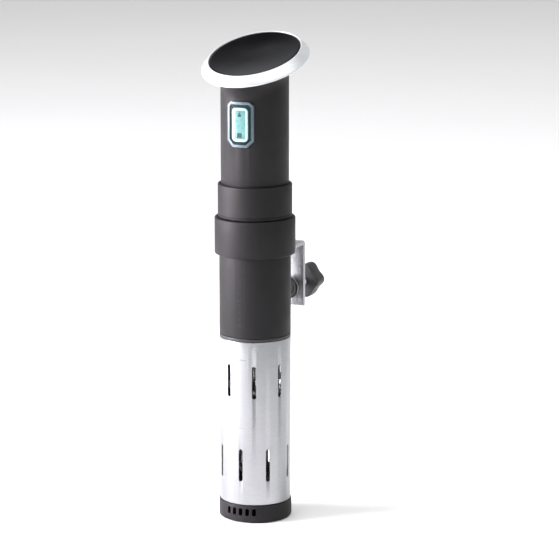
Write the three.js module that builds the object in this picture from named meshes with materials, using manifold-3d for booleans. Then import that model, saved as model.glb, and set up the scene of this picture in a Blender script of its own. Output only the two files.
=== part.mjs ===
// A sous vide circulator: a stick that hangs on the rim of a pot, with its lower half in the water.
// An upright motor in the body turns a long shaft, whose impeller in the foot drives the water past
// a coiled heater inside a steel skirt. The head is a slanted oval control panel in a metal bezel.
// Millimetres, +Z up, front towards -Y, origin at the middle of the foot's flat underside.

import * as THREE from "three";
import { mergeVertices } from "three/addons/utils/BufferGeometryUtils.js";
import Module from "manifold-3d";

const wasm = await Module();
wasm.setup();

// ---------------------------------------------------------------- driving dimensions

const GAP = 0.3; // between pieces that rest on each other
const SLIP = 0.4; // between pieces that turn or slide in each other
const SIDES = 32; // facets round a casing
const FINE = 12; // facets round a shaft or a small piece

const foot = { proud: 0.6, height: 14, spigot: 10, floor: 4, wall: 4.6, chamfer: 1.2 };
const skirt = { wall: 1, length: 131, slotWidth: 3.2, slotHeight: 26, slotsRound: 8, rowRise: 32 };
const tube = { radius: 28, wall: 1.6, length: 92.4 };
const bulkhead = { flange: 2.4, spigot: 12.6, plug: 10, groove: 3, grooveDepth: 2.2, blind: 6 };
const collar = { proud: 1, height: 26, spigot: 11, spigotWall: 3.6, shelf: 4, socket: 12, edge: 0.8 };
const body = { radius: 26.5, wall: 2.2, flare: 15, faceHeight: 101, rimInset: 2, flarePower: 2.2 };
const head = { tilt: 16.3, halfLength: 43.6, halfWidth: 34.2 };
const bezel = { width: 6.2, drop: 6.3, height: 7.6, shelf: 3, ledge: 15 };
const panel = { sink: 0.5, thickness: 2.7, gasket: 0.8, board: 1.6, boardRise: 0.3 };
const display = { width: 34, length: 24 };
const buzzer = { radius: 5, height: 5, back: 8 };
const key = { centre: 49, width: 13, height: 26, corner: 3, travel: 0.8, proud: 1.8, flange: 1.6 };
const keyFrame = { margin: 4.5, top: 3, bottom: 5, rim: 2.4, proud: 1.5, inner: 0.9 };
const keySwitch = { radius: 3, height: 1.4, plunger: 1.5 };
const keyBoard = { width: 18, height: 28, thickness: 1.6, room: 5.3 };
const motor = { radius: 15, canHeight: 32, wall: 1.2, base: 3.5, cap: 4.4, capSpigot: 2 };
const rotor = { shaft: 2, coreRoom: 3.8, coreRise: 6.7, coreHeight: 22 };
const fan = { hub: 4.5, inset: 1, height: 7, blades: 6, blade: 1, pitch: 35 };
const coupling = { radius: 7, length: 16, drop: 20 };
const shaft = { radius: 3, low: 10.3 };
const impeller = { low: 9, top: 25.5, disc: 2.5, bladeLow: 12, room: 3, hub: 6, blades: 6, blade: 1.6 };
const heater = { room: 5.9, rod: 2.6, turns: 4, pitch: 13, legRoom: 2.3, bend: 8, drop: 21 };
const stay = { circle: 10.5, radius: 1.8, low: 34, bearings: [60, 180, 300] };
const guide = { radius: 13.5, low: 36, height: 4, bushWall: 2.2, bushHeight: 6 };
const seal = { radius: 6.2, height: 6, shaftRoom: 1.6 };
const frame = { ringRoom: 2, base: 2.5, width: 26, plate: 2, room: 1.1, shelfRoom: 2.5 };
const mainBoard = { width: 26, height: 35, thickness: 1.6, rise: 0.5 };
const capacitor = { radius: 5.5, height: 14, x: -6.5, rise: 25 };
const relay = { x: [1, 12], depth: 12, rise: 17, height: 16 };
const heatSink = { width: 24, depth: 11, rise: 2, height: 12, base: 3, fins: 6, fin: 1.4 };
const gland = { bore: 3.7, thread: 5.5, flange: 7.6, saddle: 3.5, nose: 6, tip: 5.2, height: 29 };
const glandNut = { radius: 8, height: 2.8 };
const clamp = { wall: 3.2, height: 28.7, travel: 45, tab: 34, tabRise: 6, tabWidth: 26, tabWall: 7.2 };
const bracket = { width: 24, sheet: 3.5, reach: 27.7, drop: 2, hang: 54, screwDrop: 39 };
const jaw = { width: 22, height: 24, thickness: 2.5 };
const screw = { radius: 4, tip: 3.2, travel: 17.5, nutRadius: 6, nutFlange: 8.5, nutBoss: 4 };
const swivel = { radius: 9, cup: 3, face: 1.9, socket: 2.4 };
const knob = { radius: 13, swing: 1.2, lobes: 5, depth: 14, hub: 7, hubHeight: 3, screwDepth: 10 };
const lock = { bearing: 135, rise: 14, boss: 7.5, reach: 38, screw: 2.5, shoe: 4, shoeHeight: 1.45 };
const lockKnob = { radius: 9, swing: 0.7, lobes: 8, depth: 9, standOff: 0.8, screwDepth: 6.5 };
const lockTravel = 0.5;
const smallScrew = { shank: 1.3, head: 2.6, headHeight: 1.6, inset: 4, reach: 7 };
const armScrew = { shank: 1.5, head: 2.8, headHeight: 1.5, reach: 8, drops: [10, 24] };
const probes = {
  temperature_probe: { radius: 2, bearing: 120, length: 58 },
  level_probe_low: { radius: 1, bearing: 20, length: 67 },
  level_probe_high: { radius: 1, bearing: 340, length: 21 },
};

// ---------------------------------------------------------------- levels and fits

const skirtLow = foot.height + GAP;
const skirtTop = skirtLow + skirt.length;
const flangeLow = skirtTop + GAP;
const flangeTop = flangeLow + bulkhead.flange;
const bulkheadLow = flangeLow - bulkhead.spigot;
const bulkheadTop = flangeTop + bulkhead.plug;
const coilTop = bulkheadLow - heater.drop;
const tubeLow = flangeTop + GAP;
const tubeTop = tubeLow + tube.length;
const collarLow = tubeTop + GAP;
const collarTop = collarLow + collar.height;
const shelfTop = collarTop - collar.socket;
const shelfLow = shelfTop - collar.shelf;
const seat = shelfTop + GAP; // where the body, the motor and the board frame stand
const faceLevel = collarTop + body.faceHeight;
const keyLevel = collarTop + key.centre;
const glandLevel = collarTop + gland.height;
const canTop = seat + motor.canHeight;
const capLow = canTop + GAP;
const motorTop = capLow + motor.cap;
const fanLow = motorTop + 1;
const frameShelf = fanLow + fan.height + frame.shelfRoom;
const mainBoardLow = frameShelf + frame.plate + mainBoard.rise;
const mainBoardTop = mainBoardLow + mainBoard.height;
const couplingLow = shelfLow - coupling.drop;
const couplingTop = couplingLow + coupling.length;
const shaftTop = couplingLow + coupling.length / 2;
const clampTop = collarLow - GAP;
const clampLow = clampTop - clamp.height;
const tabLow = clampLow - clamp.tab;
const lockLevel = clampLow + lock.rise;
const bracketTop = clampLow - bracket.drop;
const screwLevel = bracketTop - bracket.screwDrop;

const tubeBore = tube.radius - tube.wall;
const skirtBore = tube.radius - skirt.wall;
const bodyBore = body.radius - body.wall;
const clampBore = tube.radius + SLIP;
const clampRadius = clampBore + clamp.wall;
const footSpigot = skirtBore - SLIP;
const footChamber = footSpigot - foot.wall;
const wheelRadius = footChamber - impeller.room;
const coilRadius = skirtBore - heater.room - heater.rod;
const legRadius = coilRadius - 2 * heater.rod - heater.legRoom;
const motorScrewCircle = motor.radius - smallScrew.inset;
const keyFrameWidth = key.width + 2 * keyFrame.margin;
const keyFrameHeight = key.height + 2 * keyFrame.margin;
const frameBack = Math.sqrt((bodyBore - frame.room) ** 2 - (frame.width / 2) ** 2);
const glandInside = Math.max(frameBack, motor.radius) + GAP;

const tabBack = clampBore + clamp.tabWall;
const innerLeg = tabBack + GAP;
const innerFace = innerLeg + bracket.sheet;
const outerFace = innerFace + bracket.reach;
const outerLeg = outerFace + bracket.sheet;
const jawFront = innerFace + GAP;
const nutFront = outerFace - GAP;
const nutFlange = outerLeg + GAP;
const nutBack = nutFlange + screw.nutBoss;
const cupBack = nutFront - GAP;
const cupFront = cupBack - swivel.cup;
const knobFront = nutBack + screw.travel + 1;

const panelTop = -panel.sink;
const panelLow = panelTop - panel.thickness;
const gasketTop = panelLow - GAP;
const ledgeTop = gasketTop - panel.gasket - GAP;
const bezelLow = ledgeTop - bezel.shelf;
const rimLevel = bezelLow - GAP;

const radians = THREE.MathUtils.degToRad;

// ---------------------------------------------------------------- shapes and booleans

function solidOf(geometry) {
  const bare = geometry.clone();
  bare.deleteAttribute("normal");
  bare.deleteAttribute("uv");
  const merged = mergeVertices(bare, 1e-4);
  return new wasm.Manifold(new wasm.Mesh({
    numProp: 3,
    vertProperties: new Float32Array(merged.attributes.position.array),
    triVerts: new Uint32Array(merged.index.array),
  }));
}

function geometryOf(solid) {
  const mesh = solid.getMesh();
  return new THREE.BufferGeometry()
    .setAttribute("position", new THREE.BufferAttribute(mesh.vertProperties, mesh.numProp))
    .setIndex(new THREE.BufferAttribute(mesh.triVerts, 1));
}

const join = (...pieces) => geometryOf(pieces.map(solidOf).reduce((all, next) => all.add(next)));
const cut = (base, ...tools) =>
  geometryOf(tools.map(solidOf).reduce((left, tool) => left.subtract(tool), solidOf(base)));
const common = (one, other) => geometryOf(solidOf(one).intersect(solidOf(other)));

// A solid turned about Z from its half section of [radius, height] points: a loop off the axis,
// or an open line that starts and ends on it.
function turned(section, sides = SIDES) {
  const points = section.map(([radius, height]) => new THREE.Vector2(radius, height));
  if (THREE.ShapeUtils.area(points) < 0) points.reverse();
  if (points[0].x > 0) points.push(points[0].clone());
  return new THREE.LatheGeometry(points, sides).rotateX(Math.PI / 2);
}

const rod = (radius, low, high, sides = FINE) =>
  turned([[0, low], [radius, low], [radius, high], [0, high]], sides);
const sleeve = (outer, inner, low, high, sides = SIDES) =>
  turned([[inner, low], [outer, low], [outer, high], [inner, high]], sides);
const block = ([x0, x1], [y0, y1], [z0, z1]) =>
  new THREE.BoxGeometry(x1 - x0, y1 - y0, z1 - z0)
    .translate((x0 + x1) / 2, (y0 + y1) / 2, (z0 + z1) / 2);
const across = (width) => [-width / 2, width / 2];

// Lays a geometry made along +Z along +Y, at a height.
const alongY = (geometry, height) => geometry.rotateX(-Math.PI / 2).translate(0, 0, height);
// Turns a geometry about Z, by degrees.
const turnedBy = (geometry, degrees) => geometry.rotateZ(radians(degrees));
const onCircle = (geometry, radius, degrees) =>
  geometry.translate(radius * Math.cos(radians(degrees)), radius * Math.sin(radians(degrees)), 0);
const evenly = (count, start = 0) =>
  Array.from({ length: count }, (_, i) => start + (i * 360) / count);

// A lobed grip of this depth along +Z.
function grip({ radius, swing, lobes, depth }, low) {
  const outline = evenly(lobes * 6).map((degrees) => {
    const reach = radius + swing * Math.cos(radians(degrees * lobes));
    return new THREE.Vector2(reach * Math.cos(radians(degrees)), reach * Math.sin(radians(degrees)));
  });
  return new THREE.ExtrudeGeometry(new THREE.Shape(outline), { depth, bevelEnabled: false })
    .translate(0, 0, low);
}

// ---------------------------------------------------------------- rings and skins

const headFrame = new THREE.Matrix4()
  .makeRotationX(radians(head.tilt))
  .setPosition(0, 0, faceLevel);

// The face's oval grown by an offset, at a level above the face, in the head's own frame.
const ovalRing = (offset, level) => evenly(SIDES).map((degrees) => new THREE.Vector3(
  (head.halfWidth + offset) * Math.cos(radians(degrees)),
  (head.halfLength + offset) * Math.sin(radians(degrees)),
  level,
));

const roundRing = (radius, level) => evenly(SIDES).map((degrees) => new THREE.Vector3(
  radius * Math.cos(radians(degrees)),
  radius * Math.sin(radians(degrees)),
  level,
));

function quads(from, to) {
  return Array.from({ length: SIDES }, (_, i) => {
    const next = (i + 1) % SIDES;
    return [from + i, from + next, to + next, from + i, to + next, to + i];
  }).flat();
}

// A ring-shaped solid whose skin runs over rings of points and back to the first one.
function band(rings) {
  const faces = rings.flatMap((_, row) => quads(row * SIDES, ((row + 1) % rings.length) * SIDES));
  return new THREE.BufferGeometry().setFromPoints(rings.flat()).setIndex(faces);
}

const ovalBand = (section) =>
  band(section.map(([offset, level]) => ovalRing(offset, level))).applyMatrix4(headFrame);

// A plate of the face's oval between two levels.
function ovalPlate(offset, low, high) {
  const points = [
    ...ovalRing(offset, low), ...ovalRing(offset, high),
    new THREE.Vector3(0, 0, low), new THREE.Vector3(0, 0, high),
  ];
  const caps = Array.from({ length: SIDES }, (_, i) => {
    const next = (i + 1) % SIDES;
    return [next, i, 2 * SIDES, SIDES + i, SIDES + next, 2 * SIDES + 1];
  }).flat();
  return new THREE.BufferGeometry()
    .setFromPoints(points)
    .setIndex([...quads(0, SIDES), ...caps])
    .applyMatrix4(headFrame);
}

// The body's wall on its way from round (share 0) to the slanted oval rim (share 1).
function flareRing(share, inset) {
  const spread = share ** body.flarePower;
  const round = roundRing(body.radius - inset, 0);
  return ovalRing(-body.rimInset - inset, rimLevel).map((point, i) => {
    point.applyMatrix4(headFrame);
    return new THREE.Vector3(
      THREE.MathUtils.lerp(round[i].x, point.x, spread),
      THREE.MathUtils.lerp(round[i].y, point.y, spread),
      point.z - body.flare * (1 - share),
    );
  });
}

// ---------------------------------------------------------------- outlines on the body's front

// A prism of a front outline about the key's centre, from the axis plane out past the body.
const frontPrism = (shape) =>
  new THREE.ExtrudeGeometry(shape, { depth: body.radius + 10, bevelEnabled: false, curveSegments: 4 })
    .rotateX(Math.PI / 2)
    .translate(0, 0, keyLevel);

// The part of a round wall that lies behind a front outline.
const frontPiece = (shape, outer, inner) =>
  common(frontPrism(shape), sleeve(outer, inner, keyLevel - keyFrameHeight, keyLevel + keyFrameHeight));

function frameOutline(grow) {
  const [w, h] = [keyFrameWidth / 2 + grow, keyFrameHeight / 2 + grow];
  const [top, bottom] = [keyFrame.top, keyFrame.bottom].map((corner) => corner + grow * (2 - Math.SQRT2));
  return new THREE.Shape([
    [-w + bottom, -h], [w - bottom, -h], [w, -h + bottom], [w, h - top],
    [w - top, h], [-w + top, h], [-w, h - top], [-w, -h + bottom],
  ].map(([x, y]) => new THREE.Vector2(x, y)));
}

function keyOutline(grow) {
  const [w, h, r] = [key.width / 2 + grow, key.height / 2 + grow, key.corner + grow];
  const shape = new THREE.Shape().moveTo(w, -h + r).lineTo(w, h - r);
  shape.absarc(w - r, h - r, r, 0, Math.PI / 2);
  shape.absarc(-w + r, h - r, r, Math.PI / 2, Math.PI);
  shape.absarc(-w + r, -h + r, r, Math.PI, 1.5 * Math.PI);
  shape.absarc(w - r, -h + r, r, 1.5 * Math.PI, 2 * Math.PI);
  return shape;
}

// ---------------------------------------------------------------- foot, skirt and wet end

function footCap() {
  const outer = tube.radius + foot.proud;
  const spigot = footSpigot;
  const spigotTop = foot.height + foot.spigot;
  const cup = turned([
    [0, 0], [outer - foot.chamfer, 0], [outer, foot.chamfer], [outer, foot.height],
    [spigot, foot.height], [spigot, spigotTop], [footChamber, spigotTop],
    [footChamber, foot.floor], [0, foot.floor],
  ]);
  const inlets = evenly(8).map((degrees) =>
    turnedBy(block(across(3), [9, 19], [-1, foot.floor + 1]), degrees));
  const outlets = [-22, -11, 0, 11, 22].map((degrees) =>
    turnedBy(block(across(skirt.slotWidth), [-outer - 2, 2 - footChamber], [5.5, 11.5]), degrees));
  return cut(cup, ...inlets, ...outlets);
}

function waterSkirt() {
  const reach = tube.radius + 2;
  const rows = [skirtLow + skirt.rowRise, skirtTop - skirt.rowRise];
  const slots = rows.flatMap((level, row) => evenly(skirt.slotsRound, row * 22.5)
    .slice(0, skirt.slotsRound / 2)
    .map((degrees) => turnedBy(block(
      across(skirt.slotWidth), [-reach, reach],
      [level - skirt.slotHeight / 2, level + skirt.slotHeight / 2]), degrees)));
  return cut(sleeve(tube.radius, skirtBore, skirtLow, skirtTop), ...slots);
}

const grooveLow = bulkheadLow + 4.5;

function bulkheadPlug() {
  const spigot = skirtBore - SLIP;
  const floor = spigot - bulkhead.grooveDepth;
  const grooveTop = grooveLow + bulkhead.groove;
  const plug = turned([
    [0, bulkheadLow], [spigot, bulkheadLow], [spigot, grooveLow], [floor, grooveLow],
    [floor, grooveTop], [spigot, grooveTop], [spigot, flangeLow], [tube.radius, flangeLow],
    [tube.radius, flangeTop], [tubeBore - GAP, flangeTop], [tubeBore - GAP, bulkheadTop],
    [0, bulkheadTop],
  ]);
  const through = (radius) => rod(radius, bulkheadLow - 1, bulkheadTop + 1);
  return cut(
    plug,
    through(shaft.radius + seal.shaftRoom),
    rod(seal.radius, bulkheadTop - seal.height, bulkheadTop + 1),
    onCircle(through(heater.rod + GAP), coilRadius, 0),
    onCircle(through(heater.rod + GAP), legRadius, 270),
    ...stay.bearings.map((degrees) => onCircle(
      rod(stay.radius + GAP, bulkheadLow - 1, bulkheadLow + bulkhead.blind), stay.circle, degrees)),
    ...Object.values(probes).map((probe) =>
      onCircle(through(probe.radius + GAP), legRadius, probe.bearing)),
  );
}

// A round seal that lies in the bulkhead's groove.
function skirtSeal() {
  const outer = skirtBore - GAP;
  const inner = skirtBore - SLIP - bulkhead.grooveDepth + GAP;
  const [low, high] = [grooveLow + GAP, grooveLow + bulkhead.groove - GAP];
  const edge = 0.6;
  return turned([
    [inner, low], [outer - edge, low], [outer, low + edge], [outer, high - edge],
    [outer - edge, high], [inner, high],
  ]);
}

// One rod that comes down a leg, winds into the coil and goes back up inside it.
function heaterCoil() {
  const high = bulkheadTop + 3;
  const { bend, pitch } = heater;
  const [coil, leg] = [coilRadius, legRadius];
  const legEnd = coilTop + bend;
  const points = [high, (high + legEnd) / 2, legEnd].map((z) => new THREE.Vector3(coil, 0, z));
  const place = (turn, radius, z) => points.push(
    new THREE.Vector3(radius * Math.cos(turn), radius * Math.sin(turn), z));
  for (const share of [30, 60].map(radians)) {
    place((bend * (1 - Math.cos(share))) / coil, coil, legEnd - bend * Math.sin(share));
  }
  const start = bend / coil;
  const end = 2 * Math.PI * heater.turns + radians(140);
  const steps = heater.turns * 12 + 4;
  const fall = pitch / (2 * Math.PI);
  for (let i = 0; i <= steps; i++) {
    const turn = start + ((end - start) * i) / steps;
    place(turn, coil, coilTop - fall * (turn - start));
  }
  const low = coilTop - fall * (end - start);
  place(radians(165), coil - 0.8, low - 0.8);
  place(radians(190), coil - 2.4, low - 1.6);
  place(radians(214), coil - 4.4, low - 2.2);
  for (const share of [0, 30, 60, 90].map(radians)) {
    points.push(new THREE.Vector3(
      bend * (Math.sin(share) - 1), -leg, low - 2.5 + bend * (1 - Math.cos(share))));
  }
  for (const share of [0.33, 0.67, 1]) {
    points.push(new THREE.Vector3(0, -leg, THREE.MathUtils.lerp(low - 2.5 + bend, high, share)));
  }
  const circle = new THREE.Shape(evenly(7).map((degrees) => new THREE.Vector2(
    heater.rod * Math.cos(radians(degrees)), heater.rod * Math.sin(radians(degrees)))));
  return new THREE.ExtrudeGeometry(circle, {
    steps: 104,
    extrudePath: new THREE.CatmullRomCurve3(points, false, "centripetal"),
    bevelEnabled: false,
  });
}

const probeRod = ({ radius, bearing, length }) =>
  onCircle(rod(radius, bulkheadLow - length, bulkheadTop + 2, 10), legRadius, bearing);

const stayRod = (degrees) => onCircle(
  rod(stay.radius, stay.low, bulkheadLow + bulkhead.blind - GAP, 10), stay.circle, degrees);

const bushRadius = shaft.radius + SLIP + guide.bushWall;
const guidePlate = () => cut(
  rod(guide.radius, guide.low, guide.low + guide.height, SIDES),
  rod(bushRadius + GAP, guide.low - 1, guide.low + guide.height + 1),
  ...stay.bearings.map((degrees) => onCircle(
    rod(stay.radius + GAP, guide.low - 1, guide.low + guide.height + 1, 10), stay.circle, degrees)),
);

// ---------------------------------------------------------------- collar and body

function jointCollar() {
  const outer = tube.radius + collar.proud;
  const spigot = tubeBore - GAP;
  const inner = spigot - collar.spigotWall;
  const socket = body.radius + GAP;
  const hole = 5;
  const { edge } = collar;
  const ring = turned([
    [inner, collarLow - collar.spigot], [spigot, collarLow - collar.spigot], [spigot, collarLow],
    [outer - edge, collarLow], [outer, collarLow + edge], [outer, collarTop - edge],
    [outer - edge, collarTop], [socket, collarTop], [socket, shelfTop], [hole, shelfTop],
    [hole, shelfLow], [inner, shelfLow],
  ]);
  const holes = evenly(2).map((degrees) => onCircle(
    rod(smallScrew.shank + GAP, shelfLow - 1, shelfTop + 1), motorScrewCircle, degrees));
  const wireway = onCircle(rod(3, shelfLow - 1, shelfTop + 1), 18, 90);
  return cut(ring, wireway, ...holes);
}

function bodyShell() {
  const shares = [0, 0.3, 0.5, 0.7, 0.85, 1];
  const outer = [roundRing(body.radius, seat), ...shares.map((share) => flareRing(share, 0))];
  const inner = [roundRing(bodyBore, seat), ...shares.map((share) => flareRing(share, body.wall))];
  return cut(
    band([...outer, ...inner.reverse()]),
    frontPrism(keyOutline(SLIP)),
    alongY(rod(gland.thread + GAP, bodyBore / 2, body.radius + 5), glandLevel),
  );
}

const keyBezel = () => cut(
  frontPiece(frameOutline(0), body.radius + GAP + keyFrame.proud, body.radius + GAP),
  frontPrism(frameOutline(-keyFrame.rim)),
);
const keySurround = () => cut(
  frontPiece(
    frameOutline(-keyFrame.rim - GAP), body.radius + GAP + keyFrame.inner, body.radius + GAP),
  frontPrism(keyOutline(SLIP)),
);

const flangeFront = bodyBore - SLIP;
const keyBoardFront = keyBoard.room + key.flange - flangeFront;
const switchFront = keyBoardFront - GAP - keySwitch.height;

function startKey() {
  const back = flangeFront - key.flange;
  return join(
    frontPiece(keyOutline(0), body.radius + key.proud, flangeFront - 0.5),
    frontPiece(keyOutline(key.flange), flangeFront, back),
    block(
      across(2 * keySwitch.plunger), [-back - 0.5, switchFront - key.travel - 0.1],
      [keyLevel - keySwitch.plunger, keyLevel + keySwitch.plunger]),
  );
}

// ---------------------------------------------------------------- head

const bezelRing = () => ovalBand([
  [-bezel.ledge, bezelLow], [bezel.width, bezelLow], [bezel.width, -bezel.drop], [0, 0],
  [0, ledgeTop], [-bezel.ledge, ledgeTop],
]);

const panelGasket = () => ovalBand([
  [1 - bezel.ledge, gasketTop - panel.gasket], [-1, gasketTop - panel.gasket],
  [-1, gasketTop], [1 - bezel.ledge, gasketTop],
]);

const boardLow = bezelLow + panel.boardRise;
const boardTop = boardLow + panel.board;
const displayModule = () =>
  block(across(display.width), across(display.length), [boardTop + GAP, panelLow - GAP])
    .applyMatrix4(headFrame);
const buzzerCan = () => rod(buzzer.radius, boardLow - GAP - buzzer.height, boardLow - GAP)
  .translate(0, buzzer.back, 0)
  .applyMatrix4(headFrame);

// ---------------------------------------------------------------- inside the body

const frameFront = frameBack - frame.plate;
const boardBack = frameFront - GAP;
const boardFront = boardBack - mainBoard.thickness;
const keyBoardBack = keyBoardFront + keyBoard.thickness;

function boardFrame() {
  const prop = keyBoardBack + GAP;
  const shelf = [frameShelf, frameShelf + frame.plate];
  return cut(
    join(
      sleeve(bodyBore - GAP, motor.radius + frame.ringRoom, seat, seat + frame.base),
      block(across(frame.width), [frameFront, frameBack], [seat, mainBoardTop - 2]),
      block(across(frame.width - 2), [prop, frameBack], shelf),
      block(across(keyBoard.width), [prop, prop + frame.plate], [shelf[0], keyLevel + keyBoard.height / 2]),
    ),
    alongY(rod(gland.bore + 1.3, frameFront - 1, frameBack + 1), glandLevel),
    rod(motor.radius + GAP, seat - 1, frameShelf - 1, SIDES),
  );
}

function finnedSink() {
  const back = boardFront - GAP;
  const front = back - heatSink.depth;
  const step = (heatSink.width - heatSink.fin) / (heatSink.fins - 1);
  const low = mainBoardLow + heatSink.rise;
  const level = [low, low + heatSink.height];
  const fins = Array.from({ length: heatSink.fins }, (_, i) => {
    const x = -heatSink.width / 2 + i * step;
    return block([x, x + heatSink.fin], [front, back - 1], level);
  });
  return join(block(across(heatSink.width), [back - heatSink.base, back], level), ...fins);
}

const motorCan = () => cut(
  turned([
    [shaft.radius, seat], [motor.radius, seat], [motor.radius, canTop],
    [motor.radius - motor.wall, canTop], [motor.radius - motor.wall, seat + motor.base],
    [shaft.radius, seat + motor.base],
  ], 32),
  ...evenly(2).map((degrees) => onCircle(
    rod(smallScrew.shank + GAP, seat - 1, seat + motor.base + 1), motorScrewCircle, degrees)),
);
const motorCap = () => {
  const spigot = motor.radius - motor.wall - GAP;
  return turned([
    [rotor.shaft + SLIP, capLow - motor.capSpigot], [spigot, capLow - motor.capSpigot],
    [spigot, capLow], [motor.radius, capLow], [motor.radius, motorTop],
    [rotor.shaft + SLIP, motorTop],
  ], 32);
};
const motorRotor = () => {
  const core = [seat + rotor.coreRise, seat + rotor.coreRise + rotor.coreHeight];
  const wide = motor.radius - motor.wall - rotor.coreRoom;
  return turned([
    [0, shaftTop + GAP], [rotor.shaft, shaftTop + GAP], [rotor.shaft, core[0]], [wide, core[0]],
    [wide, core[1]], [rotor.shaft, core[1]], [rotor.shaft, fanLow + fan.height],
    [0, fanLow + fan.height],
  ], 24);
};
const motorScrew = (degrees) => onCircle(turned([
  [0, shelfLow - GAP - smallScrew.headHeight], [smallScrew.head, shelfLow - GAP - smallScrew.headHeight],
  [smallScrew.head, shelfLow - GAP], [smallScrew.shank, shelfLow - GAP],
  [smallScrew.shank, shelfLow - GAP + smallScrew.reach], [0, shelfLow - GAP + smallScrew.reach],
], 12), motorScrewCircle, degrees);

// ---------------------------------------------------------------- what the motor turns

function coolingFan() {
  const inner = rotor.shaft + GAP;
  const middle = fanLow + fan.height / 2;
  const blades = evenly(fan.blades).map((degrees) => turnedBy(
    block([inner + 1, motor.radius - fan.inset], across(fan.blade), across(fan.height - 2))
      .rotateX(radians(fan.pitch))
      .translate(0, 0, middle),
    degrees));
  return join(sleeve(fan.hub, inner, fanLow, fanLow + fan.height, 24), ...blades);
}

const shaftCoupling = () => {
  const [low, high] = [shaft.radius + GAP, rotor.shaft + GAP];
  return turned([
    [low, couplingLow], [coupling.radius, couplingLow], [coupling.radius, couplingTop],
    [high, couplingTop], [high, shaftTop], [low, shaftTop],
  ], 24);
};

function impellerWheel() {
  const { low, top, disc, hub, blade, bladeLow } = impeller;
  const radius = wheelRadius;
  const hubShape = turned([
    [0, low], [hub - 1.5, low], [hub, low + 1.5], [hub, top - disc], [radius, top - disc],
    [radius, top], [0, top],
  ]);
  const blades = evenly(impeller.blades).map((degrees) => turnedBy(
    block([hub - 1.5, radius], across(blade), [bladeLow, top - disc + 0.5]), degrees));
  return cut(join(hubShape, ...blades), rod(shaft.radius + GAP, shaft.low - GAP, top + 1));
}

// ---------------------------------------------------------------- cord gland

function cordGland() {
  const wall = body.radius + GAP;
  const flangeBack = wall + gland.saddle;
  const end = flangeBack + gland.nose;
  const inside = glandInside;
  const saddle = cut(
    alongY(rod(gland.flange, body.radius / 2, flangeBack, 24), glandLevel),
    rod(wall, glandLevel - 2 * gland.flange, glandLevel + 2 * gland.flange, SIDES),
  );
  const stem = alongY(turned([
    [0, inside], [gland.thread, inside], [gland.thread, flangeBack], [gland.tip, end], [0, end],
  ], 24), glandLevel);
  return cut(join(saddle, stem), alongY(rod(gland.bore, inside - 1, end + 1), glandLevel));
}

const lockNut = () => {
  const back = glandInside + glandNut.height;
  return alongY(cut(
    rod(glandNut.radius, glandInside, back, 6),
    rod(gland.thread + GAP, glandInside - 1, back + 1, 24),
  ), glandLevel);
};

// ---------------------------------------------------------------- clamp

const lockPocket = clampBore - 1;
const shoeFront = clampBore + 0.2;
const shoeBack = shoeFront + lock.shoeHeight;
const lockTip = shoeBack + GAP;
const lockKnobFront = lock.reach + lockKnob.standOff;
const alongLock = (geometry) => turnedBy(alongY(geometry, lockLevel), lock.bearing - 90);

function clampCollar() {
  const { edge } = collar;
  const ring = turned([
    [clampBore, clampLow], [clampRadius - edge, clampLow], [clampRadius, clampLow + edge],
    [clampRadius, clampTop - edge], [clampRadius - edge, clampTop], [clampBore, clampTop],
  ]);
  const tab = block(across(clamp.tabWidth), [tube.radius / 2, tabBack], [tabLow, clampLow + clamp.tabRise]);
  const boss = alongLock(rod(lock.boss, tube.radius / 2, lock.reach, 24));
  return cut(
    join(ring, tab, boss),
    rod(clampBore, tabLow - 1, clampTop + 1, SIDES),
    alongLock(rod(lock.shoe + SLIP, lockPocket, lockTip, 24)),
    alongLock(rod(lock.screw + SLIP, lockPocket, lock.reach + 1)),
    ...armScrew.drops.map((drop) =>
      alongY(rod(armScrew.shank + GAP, tabBack - armScrew.reach + 3, tabBack + 1), clampLow - drop)),
  );
}

function clampBracket() {
  const wide = across(bracket.width);
  const upright = [bracketTop - bracket.hang, bracketTop];
  return cut(
    join(
      block(wide, [innerLeg, innerFace], upright),
      block(wide, [innerLeg, outerLeg], [bracketTop - bracket.sheet, bracketTop]),
      block(wide, [outerFace, outerLeg], upright),
    ),
    alongY(rod(screw.nutRadius + GAP, outerFace - 1, outerLeg + 1, 24), screwLevel),
    ...armScrew.drops.map((drop) =>
      alongY(rod(armScrew.shank + GAP, innerLeg - 1, innerFace + 1), clampLow - drop)),
  );
}

const bracketScrew = (drop) => {
  const under = innerFace + GAP;
  const tip = under - armScrew.reach;
  return alongY(turned([
    [0, tip], [armScrew.shank, tip], [armScrew.shank, under], [armScrew.head, under],
    [armScrew.head, under + armScrew.headHeight], [0, under + armScrew.headHeight],
  ], 12), clampLow - drop);
};

const clampNut = () => alongY(turned([
  [screw.radius + SLIP, nutFront], [screw.nutRadius, nutFront], [screw.nutRadius, nutFlange],
  [screw.nutFlange, nutFlange], [screw.nutFlange, nutBack], [screw.radius + SLIP, nutBack],
], 24), screwLevel);

const swivelCup = () => alongY(turned([
  [0, cupFront], [swivel.radius, cupFront], [swivel.radius, cupFront + 1.2],
  [screw.tip + SLIP + 2, cupBack], [screw.tip + SLIP, cupBack],
  [screw.tip + SLIP, cupBack - swivel.socket], [0, cupBack - swivel.socket],
], 24), screwLevel);
const swivelFace = () =>
  alongY(rod(swivel.radius, cupFront - GAP - swivel.face, cupFront - GAP, 24), screwLevel);

const clampScrew = () => {
  const tip = cupBack - swivel.socket + GAP;
  const end = knobFront + knob.screwDepth - GAP;
  return alongY(turned([
    [0, tip], [screw.tip, tip], [screw.tip, cupBack + 0.5], [screw.radius, cupBack + 0.5],
    [screw.radius, end], [0, end],
  ], FINE), screwLevel);
};
const clampKnob = () => alongY(cut(
  join(grip(knob, knobFront), rod(knob.hub, knobFront - 1, knobFront + knob.depth + knob.hubHeight, 24)),
  rod(screw.radius + GAP, knobFront - 2, knobFront + knob.screwDepth),
), screwLevel);

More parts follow.
